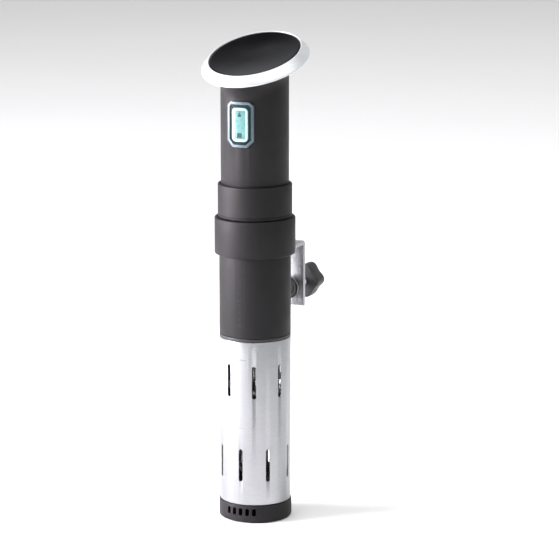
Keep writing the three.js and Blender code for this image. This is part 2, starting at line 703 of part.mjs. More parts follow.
const lockShoe = () => alongLock(rod(lock.shoe, shoeFront, shoeBack, 24));
const lockScrew = () => alongLock(rod(lock.screw, lockTip, lockKnobFront + lockKnob.screwDepth - GAP, 12));
const lockGrip = () => alongLock(cut(
  grip(lockKnob, lockKnobFront),
  rod(lock.screw + GAP, lockKnobFront - 1, lockKnobFront + lockKnob.screwDepth, 12),
));

// ---------------------------------------------------------------- materials

const finish = (color, roughness, metalness = 0) => ({ color, roughness, metalness });
const SATIN_BLACK = finish(0x262425, 0.5);
const DARK_PLASTIC = finish(0x1b1b1c, 0.6);
const GLOSS_BLACK = finish(0x0b0b0d, 0.12);
const SILVER = finish(0xd4d6d8, 0.3, 1);
const STEEL = finish(0xb4b6b8, 0.35, 1);
const TEAL = finish(0x7fd8cf, 0.3);
const RUBBER = finish(0x161616, 0.9);
const BOARD = finish(0x1f5a3a, 0.6);
const BRASS = finish(0xb9974f, 0.35, 1);
const PALE = finish(0xd9d6cb, 0.6);
const ALUMINIUM = finish(0x9a9da1, 0.45, 1);

// ---------------------------------------------------------------- the assembly

const group = new THREE.Group();
group.name = "sous_vide_circulator";

function add(name, geometry, look) {
  const mesh = new THREE.Mesh(geometry, new THREE.MeshStandardMaterial(look));
  mesh.name = name;
  group.add(mesh);
}

// foot and skirt
add("foot_cap", footCap(), SATIN_BLACK);
add("skirt", waterSkirt(), STEEL);

// wet end
add("bulkhead", bulkheadPlug(), DARK_PLASTIC);
add("skirt_seal", skirtSeal(), RUBBER);
add("shaft_seal", sleeve(
  seal.radius - GAP, shaft.radius + SLIP, bulkheadTop - seal.height + GAP, bulkheadTop - GAP, 24), RUBBER);
add("heater_coil", heaterCoil(), STEEL);
Object.entries(probes).forEach(([name, probe]) => add(name, probeRod(probe), STEEL));
["a", "b", "c"].forEach((mark, i) => add(`stay_rod_${mark}`, stayRod(stay.bearings[i]), STEEL));
add("guide_plate", guidePlate(), DARK_PLASTIC);
add("guide_bush", sleeve(
  bushRadius, shaft.radius + SLIP, guide.low - 1, guide.low - 1 + guide.bushHeight, 24), BRASS);

// casing
add("lower_tube", sleeve(tube.radius, tubeBore, tubeLow, tubeTop), SATIN_BLACK);
add("joint_collar", jointCollar(), SATIN_BLACK);
add("body_shell", bodyShell(), SATIN_BLACK);
add("bezel_ring", bezelRing(), SILVER);
add("panel_gasket", panelGasket(), RUBBER);
add("control_panel", ovalPlate(-GAP, panelLow, panelTop), GLOSS_BLACK);
add("display_board", ovalPlate(-bezel.ledge - GAP, boardLow, boardTop), BOARD);
add("display_module", displayModule(), DARK_PLASTIC);
add("buzzer", buzzerCan(), DARK_PLASTIC);
add("key_bezel", keyBezel(), SILVER);
add("key_surround", keySurround(), DARK_PLASTIC);
add("start_key", startKey(), TEAL);

// inside the body
add("board_frame", boardFrame(), PALE);
add("main_board", block(
  across(mainBoard.width), [boardFront, boardBack], [mainBoardLow, mainBoardTop]), BOARD);
add("capacitor", alongY(rod(
  capacitor.radius, boardFront - GAP - capacitor.height, boardFront - GAP), mainBoardLow + capacitor.rise)
  .translate(capacitor.x, 0, 0), DARK_PLASTIC);
add("relay", block(
  relay.x, [boardFront - GAP - relay.depth, boardFront - GAP],
  [mainBoardLow + relay.rise, mainBoardLow + relay.rise + relay.height]), PALE);
add("heat_sink", finnedSink(), ALUMINIUM);
add("key_board", block(
  across(keyBoard.width), [keyBoardFront, keyBoardBack],
  [keyLevel - keyBoard.height / 2 + 3, keyLevel + keyBoard.height / 2]), BOARD);
add("key_switch", alongY(rod(
  keySwitch.radius, switchFront, switchFront + keySwitch.height, 12), keyLevel), BRASS);
add("motor_can", motorCan(), STEEL);
add("motor_end_cap", motorCap(), PALE);
["a", "b"].forEach((mark, i) => add(`motor_screw_${mark}`, motorScrew(180 * i), STEEL));
add("cord_gland", cordGland(), RUBBER);
add("gland_nut", lockNut(), DARK_PLASTIC);

// what the motor turns
add("motor_rotor", motorRotor(), STEEL);
add("cooling_fan", coolingFan(), DARK_PLASTIC);
add("shaft_coupling", shaftCoupling(), ALUMINIUM);
add("drive_shaft", rod(shaft.radius, shaft.low, shaftTop - GAP), STEEL);
add("impeller", impellerWheel(), PALE);

// clamp
add("clamp_collar", clampCollar(), SATIN_BLACK);
add("clamp_bracket", clampBracket(), STEEL);
["a", "b"].forEach((mark, i) => add(`bracket_screw_${mark}`, bracketScrew(armScrew.drops[i]), STEEL));
add("fixed_jaw_pad", block(
  across(jaw.width), [jawFront, jawFront + jaw.thickness],
  [screwLevel - jaw.height / 2, screwLevel + jaw.height / 2]), RUBBER);
add("clamp_nut", clampNut(), BRASS);
add("swivel_cup", swivelCup(), STEEL);
add("swivel_face", swivelFace(), RUBBER);
add("clamp_screw", clampScrew(), STEEL);
add("clamp_knob", clampKnob(), DARK_PLASTIC);
add("lock_shoe", lockShoe(), RUBBER);
add("lock_screw", lockScrew(), STEEL);
add("lock_knob", lockGrip(), DARK_PLASTIC);

export default group;
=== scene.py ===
import math

import bmesh
import bpy
from bpy.props import FloatProperty, FloatVectorProperty, IntProperty, PointerProperty
from mathutils import Matrix, Vector


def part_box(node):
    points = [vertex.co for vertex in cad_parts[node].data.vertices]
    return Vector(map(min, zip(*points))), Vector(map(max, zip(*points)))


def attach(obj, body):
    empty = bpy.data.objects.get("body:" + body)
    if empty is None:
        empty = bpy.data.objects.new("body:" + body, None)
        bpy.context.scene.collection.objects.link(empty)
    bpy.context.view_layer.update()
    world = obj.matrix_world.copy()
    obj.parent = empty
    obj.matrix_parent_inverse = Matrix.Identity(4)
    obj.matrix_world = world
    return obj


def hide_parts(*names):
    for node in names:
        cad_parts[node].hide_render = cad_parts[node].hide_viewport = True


bl_info = {
    "name": "Sous Vide Circulator",
    "version": (1, 0, 0),
    "blender": (4, 5, 0),
    "location": "View3D > Sidebar > Circulator",
    "description": "Models a sous vide circulator piece by piece on its packed frame",
    "category": "Add Mesh",
}

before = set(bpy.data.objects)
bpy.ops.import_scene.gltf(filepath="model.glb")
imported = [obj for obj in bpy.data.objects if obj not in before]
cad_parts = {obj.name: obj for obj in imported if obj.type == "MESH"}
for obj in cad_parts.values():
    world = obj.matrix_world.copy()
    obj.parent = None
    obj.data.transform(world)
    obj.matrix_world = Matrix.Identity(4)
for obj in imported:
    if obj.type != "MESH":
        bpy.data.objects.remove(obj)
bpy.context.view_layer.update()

MM = 0.001
FULL = 2 * math.pi  # a whole turn
GAP = 0.3 * MM  # between pieces that stay together
SLIP = 0.4 * MM  # between pieces that slide or turn
KEY_PROUD = 1.8 * MM  # from the body's outside to the key's face
SINK = 0.5 * MM  # how far the panel lies below the bezel's inner edge
PANEL_THICK = 2.7 * MM
TUBE_WALL = 1.6 * MM
SKIRT_WALL = 1.0 * MM
CLAMP_WALL = 3.2 * MM
BOLT_HOLE = 1.8 * MM  # radius of the holes for the bracket's screws
STAY_HOLE = 2.1 * MM  # radius of the holes for the stay rods
HEATER_ROD = 2.6 * MM  # radius of the heater's rod
FINE = 192  # facets round a wall that thin details are cut from
WIDE = 128  # facets round a tube
ROUND = 96  # facets round a smaller turned piece
SMALL = 32  # facets round a screw or rod
PROBES = ("temperature_probe", "level_probe_low", "level_probe_high")
STAYS = ("a", "b", "c")
BRACKET_SCREWS = ("bracket_screw_a", "bracket_screw_b")


def low(node):
    """The lowest corner of a CAD node's box."""
    return Vector(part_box(node)[0])


def high(node):
    """The highest corner of a CAD node's box."""
    return Vector(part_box(node)[1])


def middle(node):
    return (low(node) + high(node)) / 2


# ---------------------------------------------------------------- sizes and colours


def length(name, description, default):
    return FloatProperty(name=name, description=description, default=default, min=0, unit="LENGTH")


def colour(name, description, default):
    return FloatVectorProperty(
        name=name, description=description, default=default, size=3, min=0, max=1, subtype="COLOR")


class CirculatorSizes(bpy.types.PropertyGroup):
    """Sizes of the circulator that a user may change."""

    body_radius: length("Body radius", "Outside of the round body", 26.5 * MM)
    body_wall: length("Body wall", "Thickness of the body's wall", 2.2 * MM)
    flare: length("Flare", "Height over which the body widens under the head", 15 * MM)
    face_tilt: FloatProperty(
        name="Face tilt", description="Slope of the panel, down to the front",
        default=math.radians(16.3), subtype="ANGLE")
    face_half_length: length("Face half length", "Half the panel's oval, front to back", 43.6 * MM)
    face_half_width: length("Face half width", "Half the panel's oval, side to side", 34.2 * MM)
    bezel_width: length("Bezel width", "How far the bezel reaches past the panel", 6.2 * MM)
    bezel_drop: length("Bezel drop", "How far the bezel's cone falls", 6.3 * MM)
    bezel_height: length("Bezel height", "Whole height of the bezel", 7.6 * MM)
    dish: length("Dish", "How far the panel's middle is dished", 0.9 * MM)
    key_width: length("Key width", "Width of the start key", 13 * MM)
    key_height: length("Key height", "Height of the start key", 26 * MM)
    key_corner: length("Key corner", "Corner radius of the start key", 3 * MM)
    key_margin: length("Key margin", "From the key to its frame's outer edge", 4.5 * MM)
    key_rim: length("Key rim", "Width of the key frame's light rim", 2.0 * MM)
    slot_width: length("Slot width", "Width of the skirt's water slots", 3.2 * MM)
    slot_height: length("Slot height", "Height of the skirt's water slots", 26 * MM)
    slots_round: IntProperty(
        name="Slots round", description="Water slots in each row", default=8, min=2)


class CirculatorColours(bpy.types.PropertyGroup):
    """Colours of the circulator that a user may change."""

    casing: colour("Casing", "Satin charcoal of the body", (0.0060, 0.0054, 0.0058))
    panel: colour("Panel", "Glossy black of the control panel", (0.0022, 0.0022, 0.0026))
    bezel: colour("Bezel", "Silver of the ring round the panel", (0.72, 0.73, 0.75))
    key: colour("Key", "Teal of the start key", (0.09, 0.23, 0.22))
    # painted glow along the start key's rim: a pale colour that the key's faint emission also carries
    key_rim_painted_glow: colour("Key edge", "Light border of the start key", (0.34, 0.50, 0.50))
    key_frame: colour("Key frame", "Blue-grey rim round the key", (0.13, 0.16, 0.175))
    key_well: colour("Key well", "Dark surround of the key", (0.003, 0.016, 0.019))
    steel: colour("Steel", "Brushed stainless steel", (0.38, 0.39, 0.40))
    rubber: colour("Rubber", "Black rubber", (0.011, 0.011, 0.011))


def sizes():
    return bpy.context.scene.circulator_sizes


def colours():
    return bpy.context.scene.circulator_colours


# ---------------------------------------------------------------- modelling by operator


def clear():
    """Leaves edit mode, with nothing selected."""
    if bpy.context.object and bpy.context.object.mode != "OBJECT":
        bpy.ops.object.mode_set(mode="OBJECT")
    bpy.ops.object.select_all(action="DESELECT")


def only(piece):
    """Selects one piece and makes it active."""
    clear()
    piece.select_set(True)
    bpy.context.view_layer.objects.active = piece


def settle(piece):
    """Moves a piece's place, turn and scale into its mesh."""
    only(piece)
    bpy.ops.object.transform_apply(location=True, rotation=True, scale=True)
    return piece


def turn(piece, angle, axis="Z", centre=(0, 0, 0)):
    """Turns a settled piece about an axis through a point."""
    spot = Matrix.Translation(centre)
    piece.matrix_world = spot @ Matrix.Rotation(angle, 4, axis) @ spot.inverted()
    return settle(piece)


def modify(piece, kind, **settings):
    """Adds a modifier with these settings and applies it."""
    only(piece)
    bpy.ops.object.modifier_add(type=kind)
    modifier = piece.modifiers[-1]
    for key, value in settings.items():
        setattr(modifier, key, value)
    bpy.ops.object.modifier_apply(modifier=modifier.name)
    return piece


def soft_edges(piece, width, segments=3, angle=40):
    """Rounds the edges that turn by more than an angle, in degrees."""
    return modify(
        piece, "BEVEL", width=width, segments=segments, limit_method="ANGLE",
        angle_limit=math.radians(angle), use_clamp_overlap=True, harden_normals=False)


def boolean(piece, tool, operation):
    """Combines a piece with a tool, which is used up."""
    modify(piece, "BOOLEAN", object=tool, operation=operation, solver="MANIFOLD")
    bpy.data.objects.remove(tool)
    return piece


def carve(piece, *tools):
    """Cuts the tools out of a piece."""
    for tool in tools:
        boolean(piece, tool, "DIFFERENCE")
    return piece


def weld(piece, *others):
    """Makes one solid of a piece and others that touch it."""
    for other in others:
        boolean(piece, other, "UNION")
    return piece


def overlap(piece, tool):
    """Keeps what a piece and a tool share."""
    return boolean(piece, tool, "INTERSECT")


def gather(pieces):
    """Joins pieces that don't touch into one object."""
    clear()
    for piece in pieces:
        piece.select_set(True)
    bpy.context.view_layer.objects.active = pieces[0]
    bpy.ops.object.join()
    return bpy.context.object


def closed_up():
    """In edit mode: merges doubles and turns every face outwards."""
    bpy.ops.mesh.select_all(action="SELECT")
    bpy.ops.mesh.remove_doubles(threshold=1e-7)
    bpy.ops.mesh.normals_make_consistent(inside=False)
    bpy.ops.object.mode_set(mode="OBJECT")


def rounded(points, loop=True, steps=4):
    """An outline of (a, b) or (a, b, fillet) points, with an arc at each point that has a fillet."""
    outline = []
    count = len(points)
    for i, point in enumerate(points):
        here = Vector(point[:2])
        fillet = point[2] if len(point) > 2 else 0
        if not fillet or (not loop and i in (0, count - 1)):
            outline.append(here)
            continue
        before = Vector(points[i - 1][:2]) - here
        after = Vector(points[(i + 1) % count][:2]) - here
        half = before.angle(after) / 2
        reach = min(fillet / math.tan(half), 0.49 * before.length, 0.49 * after.length)
        radius = reach * math.tan(half)
        centre = here + (before.normalized() + after.normalized()).normalized() * radius / math.sin(half)
        start = here + before.normalized() * reach - centre
        end = here + after.normalized() * reach - centre
        sweep = start.angle_signed(end)
        for step in range(steps + 1):
            angle = -sweep * step / steps
            outline.append(centre + Matrix.Rotation(angle, 2) @ start)
    return outline


def seed(name, point):
    """A new mesh of one vertex, in edit mode."""
    clear()
    bpy.ops.mesh.primitive_plane_add(size=MM, location=point)
    piece = settle(bpy.context.object)
    piece.name = name
    bpy.ops.object.mode_set(mode="EDIT")
    bpy.ops.mesh.select_mode(type="VERT")
    bpy.ops.mesh.select_all(action="SELECT")
    bpy.ops.mesh.merge(type="CENTER")
    return piece


def walk(points):
    """Extrudes the seed vertex along a line of points."""
    for here, after in zip(points, points[1:]):
        bpy.ops.mesh.extrude_vertices_move(TRANSFORM_OT_translate={"value": tuple(after - here)})


def close_line():
    """Joins the two loose ends of a line."""
    mesh = bmesh.from_edit_mesh(bpy.context.object.data)
    for vertex in mesh.verts:
        vertex.select = len(vertex.link_edges) == 1
    mesh.select_flush(True)
    bmesh.update_edit_mesh(bpy.context.object.data)
    bpy.ops.mesh.edge_face_add()


def spun(name, section, facets=ROUND, loop=None):
    """A solid spun about Z from its half section of (radius, height[, fillet]) points."""
    if loop is None:
        loop = section[0][0] > 0
    line = [Vector((r, 0, z)) for r, z in rounded(section, loop)]
    piece = seed(name, line[0])
    walk(line)
    if loop:
        close_line()
    bpy.ops.mesh.select_all(action="SELECT")
    bpy.ops.mesh.spin(steps=facets, angle=FULL, center=(0, 0, 0), axis=(0, 0, 1))
    closed_up()
    return piece


def prism(name, outline, depth, place=None):
    """A solid of an (x, y[, fillet]) outline, raised along Z, then placed by a matrix."""
    line = [Vector((x, y, 0)) for x, y in rounded(outline)]
    piece = seed(name, line[0])
    walk(line)
    close_line()
    bpy.ops.mesh.select_all(action="SELECT")
    bpy.ops.mesh.edge_face_add()
    bpy.ops.mesh.extrude_region_move(TRANSFORM_OT_translate={"value": (0, 0, depth)})
    closed_up()
    if place:
        piece.matrix_world = place
        settle(piece)
    return piece


def block(name, lowest, highest, edge=0, segments=3):
    """A box between two corners with softened edges."""
    clear()
    lowest, highest = Vector(lowest), Vector(highest)
    bpy.ops.mesh.primitive_cube_add(
        size=1, location=(lowest + highest) / 2, scale=highest - lowest)
    piece = settle(bpy.context.object)
    piece.name = name
    if edge:
        bpy.ops.object.mode_set(mode="EDIT")
        bpy.ops.mesh.select_all(action="SELECT")
        bpy.ops.mesh.bevel(offset=edge, segments=segments, affect="EDGES")
        closed_up()
    return piece


def rod(name, radius, start, end, edge=0, facets=SMALL):
    """A round rod on the Z axis, its ends eased."""
    return spun(name, [(0, start), (radius, start, edge), (radius, end, edge), (0, end)], facets)


def rod_at(name, spot, radius, start, end, edge=0, facets=SMALL):
    """An upright rod whose axis passes through a spot in plan."""
    piece = rod(name, radius, start, end, edge, facets)
    piece.location = (spot[0], spot[1], 0)
    return settle(piece)


def sleeve(name, outer, inner, start, end, edge=0, facets=ROUND):
    return spun(name, [
        (inner, start, edge), (outer, start, edge), (outer, end, edge), (inner, end, edge)], facets)


def oblong(half_x, half_y, fillet, middle_x=0):
    """An outline with four equal corners."""
    return [(middle_x + x, y, fillet) for x, y in (
        (-half_x, -half_y), (half_x, -half_y), (half_x, half_y), (-half_x, half_y))]


def along_y(piece, x=0, z=0):
    """Lays a piece made along Z along +Y, at this place."""
    piece.matrix_world = Matrix.Translation((x, 0, z)) @ Matrix.Rotation(-math.pi / 2, 4, "X")
    return settle(piece)


def ringed(name, rings, loop, facets=ROUND):
    """A skin over ellipses of (centre, half x, half y, tilt): a loop of them, or closed by end faces."""
    circles = []
    for centre, half_x, half_y, tilt in rings:
        clear()
        bpy.ops.mesh.primitive_circle_add(vertices=facets, radius=1)
        circle = bpy.context.object
        circle.matrix_world = (
            Matrix.Translation(centre) @ Matrix.Rotation(tilt, 4, "X")
            @ Matrix.Diagonal((half_x, half_y, 1, 1)))
        circles.append(settle(circle))
    piece = gather(circles)
    piece.name = name
    bpy.ops.object.mode_set(mode="EDIT")
    for i in range(len(rings) if loop else len(rings) - 1):
        bridge(i, (i + 1) % len(rings), facets)
    if not loop:
        for i in (0, len(rings) - 1):
            pick_rings(facets, i)
            bpy.ops.mesh.edge_face_add()
    closed_up()
    return piece


def pick_rings(facets, *wanted):
    """In edit mode: selects rings by their number."""
    bpy.ops.mesh.select_mode(type="VERT")
    bpy.ops.mesh.select_all(action="DESELECT")
    mesh = bmesh.from_edit_mesh(bpy.context.object.data)
    mesh.verts.ensure_lookup_table()
    for ring in wanted:
        for i in range(ring * facets, (ring + 1) * facets):
            mesh.verts[i].select = True
    mesh.select_flush(True)
    bmesh.update_edit_mesh(bpy.context.object.data)
    bpy.ops.mesh.select_mode(type="EDGE")


def bridge(first, second, facets):
    """In edit mode: skins two rings."""
    pick_rings(facets, first, second)
    bpy.ops.mesh.bridge_edge_loops()


def place(piece, look, body, *nodes, slot=None, angle=35):
    """Finishes a piece: smooth shading, its material, its body and the CAD nodes it stands for."""
    only(piece)
    bpy.ops.object.shade_smooth_by_angle(angle=math.radians(angle))
    piece.data.materials.clear()
    piece.data.materials.append(look)
    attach(piece, body)
    if nodes:
        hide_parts(*nodes)
    return piece


# ---------------------------------------------------------------- materials


class Shader:
    """The node tree of one material, with short ways to add its nodes."""

    def __init__(self, name, base, roughness, metallic=0.0, **sockets):
        self.material = bpy.data.materials.new(name)
        self.material.use_nodes = True
        self.nodes = self.material.node_tree.nodes
        self.surface = self.nodes["Principled BSDF"]
        self.set("Base Color", (*base, 1))
        self.set("Roughness", roughness)
        self.set("Metallic", metallic)
        for socket, value in sockets.items():
            self.set(socket.replace("_", " "), value)
        self.place = self.node("ShaderNodeTexCoord").outputs["Object"]
        self.height = None

    def set(self, socket, value):
        self.surface.inputs[socket].default_value = value

    def node(self, kind, **settings):
        node = self.nodes.new(kind)
        for key, value in settings.items():
            setattr(node, key, value)
        return node

    def link(self, output, target):
        self.material.node_tree.links.new(output, target)

    def stretched(self, scale, place=(0, 0, 0)):
        """Object coordinates scaled on each axis."""
        mapping = self.node("ShaderNodeMapping")
        mapping.inputs["Scale"].default_value = scale
        mapping.inputs["Location"].default_value = place
        self.link(self.place, mapping.inputs["Vector"])
        return mapping.outputs["Vector"]

    def noise(self, scale, detail=3.0, vector=None, roughness=0.5):
        noise = self.node("ShaderNodeTexNoise")
        noise.inputs["Scale"].default_value = scale
        noise.inputs["Detail"].default_value = detail
        noise.inputs["Roughness"].default_value = roughness
        self.link(vector or self.place, noise.inputs["Vector"])
        return noise.outputs["Fac"]

    def span(self, value, from_low, from_high, to_low, to_high, smooth=False):
        """Maps a value from one range to another, held at the ends."""
        node = self.node("ShaderNodeMapRange", interpolation_type="SMOOTHSTEP" if smooth else "LINEAR")
        for socket, number in zip(
                ("From Min", "From Max", "To Min", "To Max"), (from_low, from_high, to_low, to_high)):
            node.inputs[socket].default_value = number
        self.link(value, node.inputs["Value"])
        return node.outputs["Result"]

    def combine(self, operation, first, second):
        """One step of arithmetic on values or sockets."""
        node = self.node("ShaderNodeMath", operation=operation)
        for socket, value in zip(node.inputs, (first, second)):
            if isinstance(value, (int, float)):
                socket.default_value = value
            else:
                self.link(value, socket)
        return node.outputs["Value"]

    def mix(self, share, first, second):
        node = self.node("ShaderNodeMix", data_type="RGBA")
        sockets = [node.inputs[0], node.inputs[6], node.inputs[7]]
        for socket, value in zip(sockets, (share, first, second)):
            if isinstance(value, (tuple, list)):
                socket.default_value = (*value[:3], 1)
            elif isinstance(value, (int, float)):
                socket.default_value = value
            else:
                self.link(value, socket)
        return node.outputs[2]

    def bump(self, value, distance, strength=1.0):
        """Adds a height to the surface, over the heights added before."""
        node = self.node("ShaderNodeBump")
        node.inputs["Distance"].default_value = distance
        node.inputs["Strength"].default_value = strength
        self.link(value, node.inputs["Height"])
        if self.height:
            self.link(self.height, node.inputs["Normal"])
        self.height = node.outputs["Normal"]
        self.link(self.height, self.surface.inputs["Normal"])

    def rough(self, value, least, most):
        self.link(self.span(value, 0.3, 0.7, least, most), self.surface.inputs["Roughness"])

    def tint(self, output):
        self.link(output, self.surface.inputs["Base Color"])

    def edges(self, colour_in, worn, amount=0.6):
        """Lightens the convex edges, as handling does."""
        geometry = self.node("ShaderNodeNewGeometry")
        edge = self.span(geometry.outputs["Pointiness"], 0.52, 0.60, 0, amount, smooth=True)
        patchy = self.combine("MULTIPLY", edge, self.span(self.noise(180, 4), 0.35, 0.65, 0.2, 1))
        return self.mix(patchy, colour_in, worn)


def lighter(base, factor):
    return tuple(min(1.0, part * factor) for part in base)


def moulded_plastic(name, base, least=0.42, most=0.56, grain=1400, depth=0.02 * MM):
    """Injection-moulded plastic: fine spark texture, faint flow and a little wear on its edges."""
    look = Shader(name, base, least, 0.0)
    flow = look.noise(22, 4, look.stretched((1, 1, 0.35)))
    shade = look.mix(look.span(flow, 0.35, 0.65, 0, 1), lighter(base, 0.9), lighter(base, 1.15))
    look.tint(look.edges(shade, lighter(base, 2.6), 0.5))
    look.rough(look.noise(60, 5), least, most)
    look.bump(look.noise(grain, 2), depth, 0.35)
    return look


def satin_casing(base):
    """Charcoal soft-touch casing: very fine grain, faint smudges."""
    look = moulded_plastic("satin_charcoal", base, 0.5, 0.6, 2200, 0.012 * MM)
    look.set("Specular IOR Level", 0.24)
    return look.material


def dark_well(base):
    """Dull dark plastic that swallows the light beside the lit key."""
    look = moulded_plastic("key_well", base, 0.42, 0.55)
    look.set("Specular IOR Level", 0.12)
    return look.material


def black_glass(base):
    """Polished black panel with faint finger marks."""
    look = Shader("panel_glass", base, 0.1, 0.0, Specular_IOR_Level=0.42)
    smudge = look.noise(38, 6, roughness=0.65)
    look.rough(smudge, 0.08, 0.13)
    look.bump(look.noise(26, 1), 0.02 * MM, 0.15)
    look.tint(look.mix(look.span(smudge, 0.45, 0.75, 0, 1), base, lighter(base, 1.8)))
    return look.material


def brushed(name, base, roughness, across, depth=0.012 * MM):
    """Brushed metal: fine scratches that run across one axis's stretch."""
    look = Shader(name, base, roughness, 1.0)
    lines = look.noise(1, 3, look.stretched(across), 0.6)
    patches = look.noise(24, 3)
    shade = look.mix(look.span(patches, 0.3, 0.7, 0, 1), lighter(base, 0.93), lighter(base, 1.05))
    look.tint(look.mix(look.span(lines, 0.3, 0.7, 0, 0.35), shade, lighter(base, 0.72)))
    look.rough(lines, roughness - 0.06, roughness + 0.1)
    look.bump(lines, depth, 0.5)
    return look


def silver_bezel(base):
    """Silver paint, brushed round the head."""
    look = brushed("silver_bezel", base, 0.34, (60, 60, 2600), 0.006 * MM)
    look.set("Metallic", 0.55)
    return look.material


def plain_steel(base):
    return brushed("brushed_steel", base, 0.32, (140, 140, 3200)).material


def turned_steel(base):
    return brushed("turned_steel", lighter(base, 1.1), 0.24, (300, 300, 2600), 0.006 * MM).material


def heater_steel(base):
    """Steel with the straw and blue tints that heat leaves on it, and scale where water dries."""
    look = Shader("heater_steel", base, 0.34, 1.0)
    drift = look.noise(26, 4)
    warm = look.mix(look.span(drift, 0.42, 0.62, 0, 1), base, (0.42, 0.33, 0.22))
    blue = look.mix(look.span(look.noise(17, 3), 0.52, 0.68, 0, 0.7), warm, (0.20, 0.24, 0.36))
    scale = look.span(look.noise(420, 6, roughness=0.7), 0.56, 0.7, 0, 0.45)
    look.tint(look.mix(scale, blue, (0.62, 0.61, 0.58)))
    look.rough(look.noise(300, 5), 0.26, 0.5)
    look.bump(look.noise(700, 4), 0.01 * MM, 0.4)
    return look.material


def bare_metal(name, base, roughness=0.3):
    """Metal with a fine even grain."""
    return brushed(name, base, roughness, (900, 900, 900), 0.005 * MM).material


def black_rubber(base):
    """Dull rubber with a little dust on it."""
    look = Shader("black_rubber", base, 0.75, 0.0, Specular_IOR_Level=0.35)
    dust = look.span(look.noise(75, 6, roughness=0.7), 0.45, 0.75, 0, 0.6)
    look.tint(look.mix(dust, base, lighter(base, 2.4)))
    look.rough(look.noise(240, 4), 0.62, 0.85)
    look.bump(look.noise(1700, 3), 0.03 * MM, 0.5)
    return look.material


def teal_key(fill, pale):
    """A translucent teal key whose colour is also a faint emission, a painted glow with no lamp behind it: a
    pale painted glow round its border, painted shade towards its top and bottom ends, a teal field and dark
    paint in its engraved marks.
    """
    look = Shader("teal_key_painted_glow", fill, 0.28, 0.0, Coat_Weight=0.4, Coat_Roughness=0.12)
    mine = sizes()
    spread = look.node("ShaderNodeSeparateXYZ")
    look.link(look.stretched((1, 1, 1), (0, 0, -key_level())), spread.inputs["Vector"])
    across = look.combine("ABSOLUTE", spread.outputs["X"], 0)
    along = look.combine("ABSOLUTE", spread.outputs["Z"], 0)
    side = look.combine("SUBTRACT", across, mine.key_width / 2)
    end = look.combine("SUBTRACT", along, mine.key_height / 2)
    inset = look.combine("MAXIMUM", side, end)
    # pale band round the key's border: a painted glow along its rim
    border = look.span(inset, -2.1 * MM, -1.5 * MM, 0, 1, smooth=True)
    # darker towards the top and bottom ends: painted shade in the key's colour and glow
    painted_end_shade = look.span(end, -6.5 * MM, -2.6 * MM, 0, 0.5, smooth=True)
    cloudy = look.span(look.noise(210, 3), 0.3, 0.7, 0, 0.3)
    field = look.mix(painted_end_shade, look.mix(cloudy, fill, lighter(fill, 0.75)), lighter(fill, 0.5))
    shade = look.mix(border, field, pale)
    reach = look.node("ShaderNodeVectorMath", operation="LENGTH")
    look.link(look.stretched((1, 1, 0)), reach.inputs[0])
    face = mine.body_radius + KEY_PROUD
    paint = look.span(reach.outputs["Value"], face - 0.3 * MM, face - 0.2 * MM, 1, 0)
    inner = look.span(inset, -3.2 * MM, -3.0 * MM, 1, 0)
    dark_paint = (0.008, 0.040, 0.042)
    shade = look.mix(look.combine("MULTIPLY", paint, inner), shade, dark_paint)
    look.tint(shade)
    # the key's colour also drives a faint emission: a painted glow, with no lamp behind the key
    look.link(shade, look.surface.inputs["Emission Color"])
    look.set("Emission Strength", 0.1)
    look.rough(look.noise(400, 3), 0.22, 0.34)
    look.bump(look.noise(1600, 2), 0.006 * MM, 0.3)
    return look.material


def circuit_board():
    """Green solder mask with copper runs under it and pale legend specks."""
    mask, run = (0.012, 0.085, 0.04), (0.03, 0.16, 0.06)
    look = Shader("circuit_board", mask, 0.4, 0.0)
    bricks = look.node("ShaderNodeTexBrick", offset=0.37, squash=0.6)
    bricks.inputs["Scale"].default_value = 190
    bricks.inputs["Mortar Size"].default_value = 0.05
    look.link(look.place, bricks.inputs["Vector"])
    shade = look.mix(bricks.outputs["Fac"], mask, run)
    specks = look.span(look.noise(900, 1), 0.68, 0.72, 0, 1)
    look.tint(look.mix(specks, shade, (0.6, 0.6, 0.55)))
    look.rough(look.noise(300, 3), 0.3, 0.5)
    look.bump(bricks.outputs["Fac"], 0.03 * MM, 0.5)
    return look.material


LOOKS = {}


def make_looks():
    """Every material, made once."""
    mine = colours()
    steel = tuple(mine.steel)
    LOOKS.update(
        casing=satin_casing(tuple(mine.casing)),
        panel=black_glass(tuple(mine.panel)),
        bezel=silver_bezel(tuple(mine.bezel)),
        key=teal_key(tuple(mine.key), tuple(mine.key_rim_painted_glow)),
        key_frame=bare_metal("key_frame_satin", tuple(mine.key_frame), 0.55),
        key_well=dark_well(tuple(mine.key_well)),
        steel=plain_steel(steel),
        turned=turned_steel(steel),
        heater=heater_steel(steel),
        sleeve=moulded_plastic("capacitor_sleeve", (0.02, 0.05, 0.16), 0.3, 0.4).material,
        brass=bare_metal("turned_brass", (0.62, 0.42, 0.14), 0.28),
        aluminium=bare_metal("machined_aluminium", (0.56, 0.57, 0.59), 0.36),
        rubber=black_rubber(tuple(mine.rubber)),
        plastic=moulded_plastic("black_plastic", (0.012, 0.012, 0.013), 0.4, 0.58).material,
        pale=moulded_plastic("pale_plastic", (0.62, 0.60, 0.54), 0.4, 0.55).material,
        board=circuit_board(),
    )


# ---------------------------------------------------------------- where things are


def head_matrix():
    """The panel's own frame: its origin in the face's middle, its Z out of the face."""
    tilt = sizes().face_tilt
    panel_middle = (SINK + PANEL_THICK / 2) * math.cos(tilt)
    level = middle("control_panel").z + panel_middle
    return Matrix.Translation((0, 0, level)) @ Matrix.Rotation(tilt, 4, "X")


def oval(offset, level):
    """A ring of the face's oval, grown by an offset, at a level above the face."""
    mine = sizes()
    centre = head_matrix() @ Vector((0, 0, level))
    return centre, mine.face_half_width + offset, mine.face_half_length + offset, mine.face_tilt


def oval_solid(name, section, loop):
    """A solid of (offset, level[, fillet]) points carried round the face's oval."""
    return ringed(name, [oval(offset, level) for offset, level in rounded(section, loop)], loop, WIDE)


